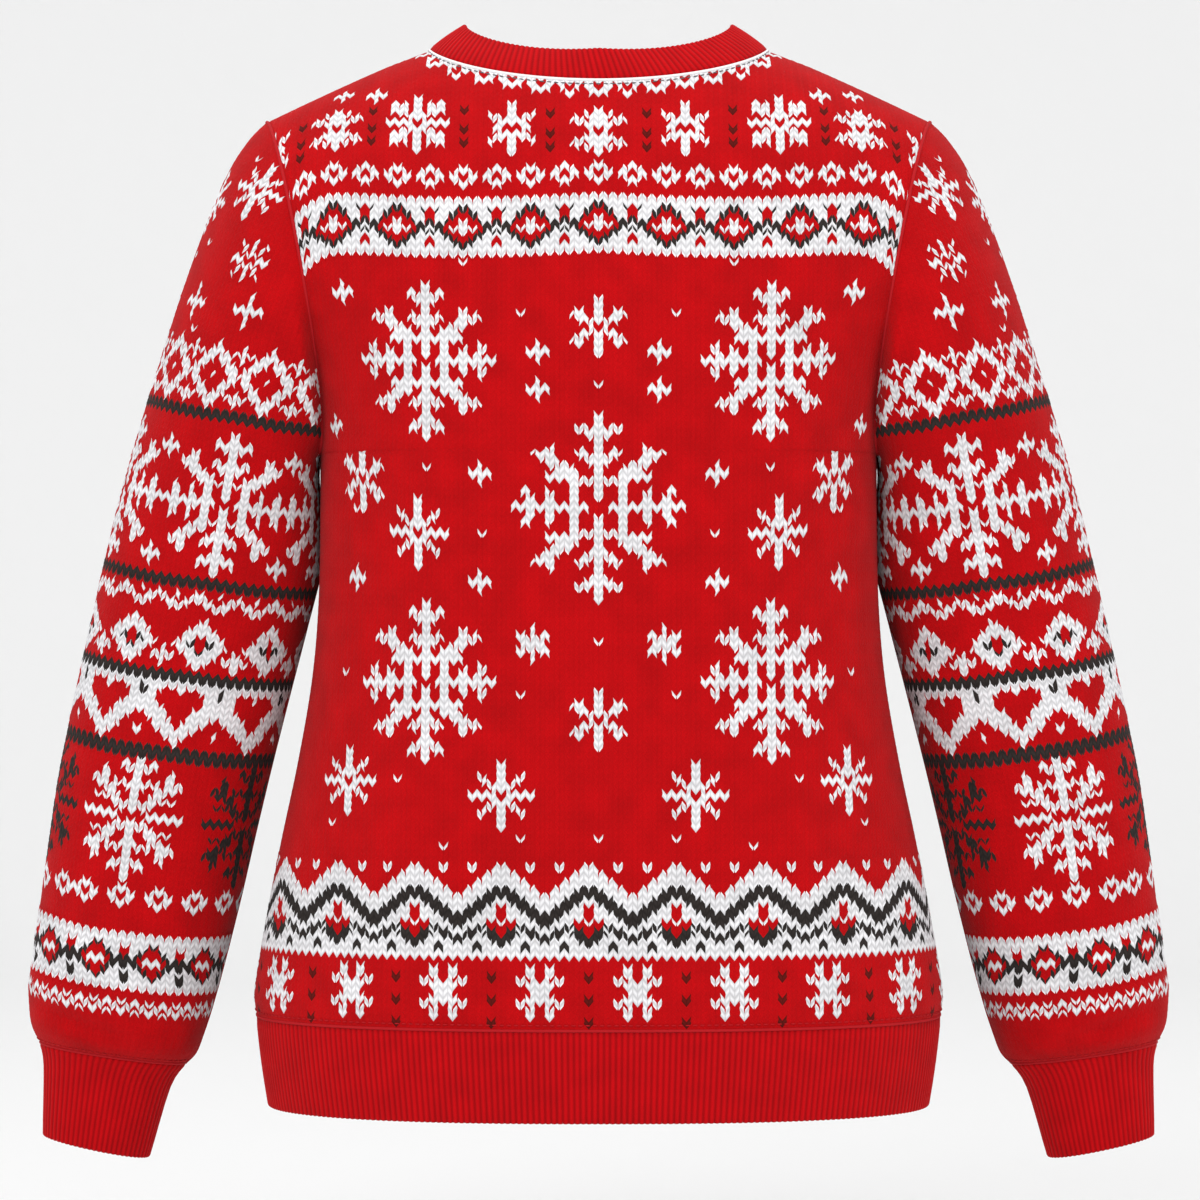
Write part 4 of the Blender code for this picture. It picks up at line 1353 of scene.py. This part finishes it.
def stitch_group() -> bpy.types.NodeTree:
    """Fine stocking stitch: how high the yarn stands at a place on the flat cloth."""
    nodes = new_group("stocking_stitch", {"Place": "Vector", "Wales": "Float", "Courses": "Float"},
                      ["Height"])
    source = nodes.add("NodeGroupInput").outputs
    split = nodes.add("ShaderNodeSeparateXYZ", {0: source["Place"]}).outputs
    across = nodes.math("FRACT", nodes.math("MULTIPLY", split[0], source["Wales"]))
    beside = nodes.scaled(nodes.math("ABSOLUTE", nodes.math("SUBTRACT", across, 0.5)), 2.0)
    up = nodes.math("MULTIPLY", split[1], source["Courses"])
    along = nodes.math("FRACT", nodes.scaled(beside, -0.75, up))
    strand, leg = (nodes.math("SINE", nodes.scaled(part, math.pi)) for part in (along, beside))
    height = nodes.math("MULTIPLY", nodes.math("POWER", strand, 0.6), nodes.scaled(leg, 0.7, 0.3))
    nodes.add("NodeGroupOutput", {"Height": height})
    return nodes.tree


def fibre_group() -> bpy.types.NodeTree:
    """Brushed fibre: a fine uneven height, and a soft unevenness of the dye."""
    nodes = new_group("brushed_fibre", {"Position": "Vector"}, ["Height", "Dye"])
    source = nodes.add("NodeGroupInput").outputs
    height, dye = (nodes.add("ShaderNodeTexNoise", {"Vector": source["Position"], "Scale": scale,
                                                    "Detail": 0.0}).outputs[0]
                   for scale in (1700.0, 70.0))
    nodes.add("NodeGroupOutput", {"Height": height, "Dye": dye})
    return nodes.tree


@dataclass(frozen=True)
class Finish:
    """A plain thread or cord, and what all finishes have in common."""

    name: str
    colour: Colour
    bump_strength: float = 0.4
    bump_depth: float = 0.0002
    roughness: float = 0.80
    gloss: float = 0.25
    sheen: float = 0.0

    def surface(self, nodes: NodeTree, stitches: bpy.types.NodeTree,
                fibre: Sequence[Socket]) -> tuple[Colour | Socket, Socket]:
        """Its colour and height.

        Args:
            nodes: The material's nodes.
            stitches: The group of fine stitches.
            fibre: The height of the fibre and its dye.

        Returns:
            The colour and the height.
        """
        return self.colour, fibre[0]

    def material(self, stitches: bpy.types.NodeTree, fibres: bpy.types.NodeTree) -> Material:
        """The material of the finish, from the groups of stitches and fibre."""
        material = bpy.data.materials.new(self.name)
        material.use_nodes = True
        nodes = NodeTree(material.node_tree)
        position = nodes.add("ShaderNodeTexCoord").outputs["Object"]
        fibre = nodes.add("ShaderNodeGroup", {"Position": position}, node_tree=fibres).outputs
        colour, height = self.surface(nodes, stitches, fibre)
        bump = nodes.add("ShaderNodeBump", {"Strength": self.bump_strength,
                                            "Distance": self.bump_depth, "Height": height})
        nodes.feed(material.node_tree.nodes["Principled BSDF"], {
            "Base Color": colour, "Normal": bump.outputs[0], "Roughness": self.roughness,
            "Specular IOR Level": self.gloss, "Sheen Weight": self.sheen})
        return material


@dataclass(frozen=True)
class RibFinish(Finish):
    """The plain red yarn of the ribs, with painted shade between them."""

    name: str = "ribbed_knit"
    colour: Colour = (0.490, 0.0004, 0.0030, 1.0)
    bump_strength: float = 0.5
    bump_depth: float = 0.0004
    roughness: float = 0.88
    gloss: float = 0.10
    sheen: float = 0.04
    painted_valley_shade: float = 0.42        # painted shade: brightness between the ribs or stitches, where shade falls
    wales: float = 1.0
    courses: float = 1.9

    def stitch_height(self, nodes: NodeTree, stitches: bpy.types.NodeTree) -> Socket:
        """How high the fine stitches stand."""
        place = nodes.add("ShaderNodeUVMap", uv_map="cloth").outputs[0]
        return nodes.add("ShaderNodeGroup", {
            "Place": place, "Wales": self.wales, "Courses": self.courses},
            node_tree=stitches).outputs[0]

    def painted_crown_shade(self, nodes: NodeTree) -> Socket:
        """Painted shade: full brightness on the crowns, and less between them, where shade falls.
        """
        crown = nodes.add("ShaderNodeAttribute", attribute_name="crown").outputs["Fac"]
        return nodes.scaled(crown, 1 - self.painted_valley_shade, self.painted_valley_shade)

    def surface(self, nodes: NodeTree, stitches: bpy.types.NodeTree,
                fibre: Sequence[Socket]) -> tuple[Colour | Socket, Socket]:
        """Its colour and height, as for every finish."""
        height = nodes.scaled(self.stitch_height(nodes, stitches), 0.5, nodes.scaled(fibre[0], 0.4))
        dyed = nodes.scaled(fibre[1], 0.24, 0.88)
        return nodes.darkened(self.colour, self.painted_crown_shade(nodes), dyed), height


@dataclass(frozen=True)
class KnitFinish(RibFinish):
    """The brushed yarn of the knit, in the colours of its pattern, with painted shade between its
    stitches.
    """

    name: str = "patterned_knit"
    colour: Colour = (0.480, 0.0004, 0.0024, 1.0)
    white: Colour = (0.840, 0.830, 0.850, 1.0)
    charcoal: Colour = (0.030, 0.024, 0.022, 1.0)
    brown: Colour = (0.110, 0.006, 0.004, 1.0)
    bump_strength: float = 0.55
    bump_depth: float = 0.0005
    roughness: float = 0.90
    # painted shade between the legs of the pattern's V's
    painted_valley_shade: float = 0.62
    wales: float = 2.5          # fine wales to a wale of the pattern
    courses: float = 2.4

    def surface(self, nodes: NodeTree, stitches: bpy.types.NodeTree,
                fibre: Sequence[Socket]) -> tuple[Colour | Socket, Socket]:
        """Its colour and height, as for every finish: fine stitches show on the red ground, in
        height and as painted shade between them, and the legs of the pattern's other yarns get
        painted shade between their crowns.
        """
        yarn = nodes.add("ShaderNodeAttribute", attribute_name="yarn").outputs["Fac"]
        ramp = nodes.add("ShaderNodeValToRGB", {0: nodes.math("DIVIDE", yarn, 4.0)})
        ramp.color_ramp.interpolation = "CONSTANT"
        for place, colour in ((0.20, self.white), (0.45, self.charcoal), (0.70, self.brown)):
            ramp.color_ramp.elements.new(place).color = colour
        ramp.color_ramp.elements[0].color = self.colour
        ramp.color_ramp.elements[-1].color = self.brown
        ground = nodes.math("LESS_THAN", yarn, 0.5)
        fine = self.stitch_height(nodes, stitches)
        # painted shade: the red ground darker in the fine stitches' valleys, the other yarns darker
        # between the crowns of their legs
        painted_shade = nodes.add("ShaderNodeMix", {0: ground, 2: self.painted_crown_shade(nodes),
                                            3: nodes.scaled(fine, 0.22, 0.80)}).outputs[0]
        knit = nodes.math("MULTIPLY", fine, ground)
        height = nodes.scaled(knit, 0.7, nodes.scaled(fibre[0], 0.45))
        return nodes.darkened(ramp.outputs[0], painted_shade, nodes.scaled(fibre[1], 0.30, 0.85)), height


class Slot(str, Enum):
    """The record's material slots."""

    BODY = "knit_body"
    SLEEVE = "knit_sleeve"
    RIB = "rib"
    TAPE = "seam_tape"
    THREAD = "thread"


# ---------------------------------------------------------------- the sweater
BACK_CREASES = (
    Crease((0.168, -0.262), (0.095, -0.330), 0.012, 0.0022),
    Crease((0.170, -0.300), (0.110, -0.372), 0.014, 0.0016),
    Crease((0.060, -0.520), (0.075, -0.590), 0.018, 0.0016),
    Crease((0.150, -0.500), (0.172, -0.588), 0.016, 0.0020),
    Crease((0.110, -0.400), (0.128, -0.560), 0.022, -0.0014),
)
FRONT_CREASES = (
    Crease((0.168, -0.258), (0.090, -0.315), 0.013, 0.0024),
    Crease((0.170, -0.290), (0.118, -0.352), 0.012, 0.0018),
    Crease((0.052, -0.512), (0.064, -0.588), 0.017, 0.0018),
    Crease((0.142, -0.488), (0.166, -0.586), 0.018, 0.0020),
    Crease((0.104, -0.380), (0.120, -0.540), 0.024, -0.0015),
)
SLEEVE_CREASES = (
    Crease((-0.352, -0.560), (-0.268, -0.604), 0.0075, 0.0030),
    Crease((-0.350, -0.592), (-0.290, -0.612), 0.0060, 0.0032),
    Crease((-0.345, -0.528), (-0.300, -0.556), 0.0090, 0.0020),
    Crease((-0.250, -0.580), (-0.300, -0.566), 0.0070, 0.0022),
    Crease((-0.176, -0.262), (-0.235, -0.250), 0.0090, 0.0024),
    Crease((-0.176, -0.290), (-0.240, -0.296), 0.0085, 0.0022),
    Crease((-0.186, -0.350), (-0.240, -0.330), 0.0110, 0.0014),
    Crease((-0.330, -0.420), (-0.280, -0.436), 0.0140, 0.0012),
)


@dataclass
class Sweater:
    """The whole pullover, piece by piece."""

    back: PanelForm = field(default_factory=lambda: PanelForm(Side.BACK, BACK_CREASES))
    front: PanelForm = field(default_factory=lambda: PanelForm(Side.FRONT, FRONT_CREASES))
    sleeve: SleeveForm = field(default_factory=lambda: SleeveForm(SLEEVE_CREASES))
    stitch_lines: dict = field(default_factory=dict)

    def __post_init__(self) -> None:
        groups = stitch_group(), fibre_group()
        self.knit, self.rib, self.red_cord, self.white_cord, self.grey_thread = (
            finish.material(*groups) for finish in (
                KnitFinish(), RibFinish(), Finish("red_yarn", (0.42, 0.003, 0.007, 1.0)),
                Finish("white_tape", (0.80, 0.79, 0.80, 1.0)),
                Finish("grey_thread", (0.13, 0.12, 0.13, 1.0))))

    def add(self, mesh: Mesh, material: Material, slot: Slot, *nodes: str) -> bpy.types.Object:
        """Put a piece in the scene, on the body, in place of CAD nodes if any are named."""
        piece = bpy.data.objects.new(mesh.name, mesh)
        bpy.context.scene.collection.objects.link(piece)
        mesh.materials.append(material)
        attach(piece, "root")
        if nodes:
            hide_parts(*nodes)
        size = " x ".join(f"{1000 * side:.0f}" for side in piece.dimensions)
        LOG.info("%s: %s mm, %d faces", piece.name, size, len(mesh.polygons))
        return piece

    def build_panel(self, form: PanelForm, name: str, node: str) -> None:
        """Knit the back or the front."""
        cloth = form.cloth()
        outline, neck = form.cut(cloth)
        sheet = KnitSheet(right=cloth, left=None, outline=outline, chart=panel_chart(),
                          colour_over=Scallops(neck), outward=-int(form.side))
        self.add(sheet.build(name), self.knit, Slot.BODY, node)
        hem = level_line(0.985 * cloth.reach[HEM_LEVEL, -1], 200)
        for key, line in (("neck", (neck - (0, 0.0030))[3:-3]), ("hem", hem)):
            self.stitch_lines.setdefault(key, []).append(sheet.above(line, THREAD_LIFT))

    def build_sleeves(self) -> None:
        """Knit the left sleeve, and the right one as its mirror image."""
        back, front = self.sleeve.cloth(Side.BACK), self.sleeve.cloth(Side.FRONT)
        outline = self.sleeve.cut(back, front)
        sheet = KnitSheet(right=back, left=front, outline=outline, chart=sleeve_chart())
        left = sheet.build("knit_sleeve_left")
        right = mirror_image(left, "knit_sleeve_right")
        for mesh, node in ((left, "sleeve_left"), (right, "sleeve_right")):
            self.add(mesh, self.knit, Slot.SLEEVE, node)
        end = 0.98 * min(cloth.reach[HEM_LEVEL, -1] for cloth in (back, front))
        line = sheet.above(level_line(end, 120), THREAD_LIFT)
        self.stitch_lines["cuffs"] = [line, line * MIRROR]

    def build_ribs(self) -> None:
        """Knit the neckband, the hem and the cuffs."""
        bands = [(RibBand(loops, ribs).build(name), loops, node) for name, loops, ribs, node in (
            ("rib_neck", neck_loops(self.back, self.front), 176, "neck_rib"),
            ("rib_hem", hem_loops(), 300, "hem_rib"),
            ("rib_cuff_left", cuff_loops(), 60, "cuff_left"))]
        cuff, loops, _ = bands[-1]
        bands.append((mirror_image(cuff, "rib_cuff_right"), loops, "cuff_right"))
        for mesh, loops, node in bands:
            self.add(mesh, self.rib, Slot.RIB, node)

    def build_seams(self) -> None:
        """Sew the pieces together."""
        angle = np.linspace(0, math.pi, 90)
        armhole = np.concatenate([self.sleeve.armhole(Side.BACK, angle)[:-1],
                                  self.sleeve.armhole(Side.FRONT, angle)[:0:-1]])
        x = np.linspace(SHOULDER_X - 0.001, NECK_HALF_WIDTH + 0.002, 60)
        shoulder = np.stack([x, 0 * x, shoulder_line(x) - SEAM_GAP], axis=-1)
        z = np.linspace(HEM_SEAM_Z, UNDERARM_Z - 0.002, 120)
        side = np.stack([body_rows(z)[:, 1] - SEAM_GAP, 0 * z, z], axis=-1)
        underarm = self.sleeve.points(Side.BACK)[:, -1] - (SEAM_GAP / 2, 0, 0)
        paths = [path * way for path in (shoulder, side, underarm) for way in ((1, 1, 1), MIRROR)]
        cuff = sleeve_rings(SLEEVE, np.array([len(SLEEVE) - 1.0]),
                            np.linspace(0, 2 * math.pi, 240, endpoint=False))[0]
        loops = [armhole, armhole * MIRROR, body_loop(HEM_SEAM_Z), cuff, cuff * MIRROR]
        cords, stitch = SeamCords(), Topstitch()
        self.add(cords.build("seam_yarn", paths, loops), self.red_cord, Slot.THREAD)
        self.add(cords.build("neck_tape", [], [neck_seam(self.back, self.front)]),
                 self.white_cord, Slot.TAPE)
        for key, material in (("neck", self.grey_thread), ("hem", self.red_cord),
                              ("cuffs", self.red_cord)):
            self.add(stitch.build(f"topstitch_{key}", self.stitch_lines[key]), material,
                     Slot.THREAD)

    def build(self) -> None:
        """Build every piece in the order in which it's made up."""
        self.build_panel(self.back, "knit_back", "back_panel")
        self.build_panel(self.front, "knit_front", "front_panel")
        self.build_sleeves()
        self.build_ribs()
        self.build_seams()


def level_line(end: float, count: int) -> Points:
    """Places on the flat cloth just above a band's seam, from the left to the right."""
    return np.stack([np.linspace(-end, end, count), np.full(count, 0.0035)], axis=-1)


# ---------------------------------------------------------------- the room
# name, place, power and size of each light
LIGHTS = (
    ("key_light", (-1.3, -2.2, 1.4), 24.0, 1.4),
    ("fill_light", (1.7, -2.0, 0.4), 12.0, 1.8),
    ("top_light", (0.0, -0.3, 1.9), 12.0, 1.6),
)


@dataclass
class Studio:
    """A pale floor that rises behind, soft light, and the camera."""

    floor_z: float = -0.80
    floor_size: float = 9.0
    wall_height: float = 6.0
    camera_distance: float = 2.6
    aim: tuple[float, float, float] = (0.0009, 0.0, -0.3398)
    field_width: float = 0.744
    world_strength: float = 0.93
    sweep_radius: float = 2.0

    def build(self) -> None:
        """Set everything up."""
        self.build_backdrop()
        for name, place, power, size in LIGHTS:
            data = bpy.data.lights.new(name, "AREA")
            data.energy, data.size = power, size
            lamp = self.link(name, data, place)
            way = Vector(self.aim) - Vector(place)
            lamp.rotation_euler = way.to_track_quat("-Z", "Y").to_euler()
        world = bpy.data.worlds.new("studio")
        world.use_nodes = True
        NodeTree(world.node_tree).feed(world.node_tree.nodes["Background"], {
            "Color": (1, 1, 1, 1), "Strength": self.world_strength})
        data = bpy.data.cameras.new("camera")
        data.sensor_width = 36.0
        data.lens = data.sensor_width * self.camera_distance / self.field_width
        camera = self.link("camera", data, (self.aim[0], -self.camera_distance, self.aim[2]))
        camera.rotation_euler = (math.pi / 2, 0, 0)
        scene = bpy.context.scene
        scene.world, scene.camera = world, camera
        scene.view_settings.view_transform = "Standard"
        cycles = scene.cycles
        cycles.max_bounces, cycles.diffuse_bounces, cycles.glossy_bounces = 2, 1, 1

    @staticmethod
    def link(name: str, data: bpy.types.ID, place: Sequence[float]) -> bpy.types.Object:
        """A light or camera at its place in the scene."""
        thing = bpy.data.objects.new(name, data)
        bpy.context.scene.collection.objects.link(thing)
        thing.location = place
        return thing

    def build_backdrop(self) -> None:
        """A floor that curves up into a wall behind."""
        bpy.ops.object.select_all(action="DESELECT")
        bpy.ops.mesh.primitive_plane_add(size=self.floor_size, location=(0, 0, self.floor_z))
        backdrop = bpy.context.object
        backdrop.name = "backdrop"
        bpy.ops.object.transform_apply(location=True)
        bpy.ops.object.mode_set(mode="EDIT")
        bpy.ops.mesh.select_mode(type="EDGE")
        bpy.ops.mesh.select_all(action="DESELECT")
        bpy.ops.object.mode_set(mode="OBJECT")
        for edge in backdrop.data.edges:
            edge.select = all(backdrop.data.vertices[index].co.y > 1 for index in edge.vertices)
        bpy.ops.object.mode_set(mode="EDIT")
        bpy.ops.mesh.extrude_region_move(TRANSFORM_OT_translate={"value": (0, 0, self.wall_height)})
        bpy.ops.object.mode_set(mode="OBJECT")
        bevel = backdrop.modifiers.new("sweep", "BEVEL")
        bevel.width, bevel.segments, bevel.limit_method = self.sweep_radius, 24, "ANGLE"
        bpy.ops.object.modifier_apply(modifier=bevel.name)
        backdrop.data.shade_smooth()
        paper = bpy.data.materials.new("backdrop_paper")
        paper.use_nodes = True
        NodeTree(paper.node_tree).feed(paper.node_tree.nodes["Principled BSDF"], {
            "Base Color": (0.90, 0.90, 0.90, 1), "Roughness": 0.9})
        backdrop.data.materials.append(paper)


def main() -> None:
    """Dress the sweater and set up the studio."""
    logging.basicConfig(level=logging.INFO, format="%(message)s")
    for item in list(bpy.data.objects):
        bpy.data.objects.remove(item, do_unlink=True)
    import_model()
    Sweater().build()
    Studio().build()


if __name__ == "__main__":
    main()
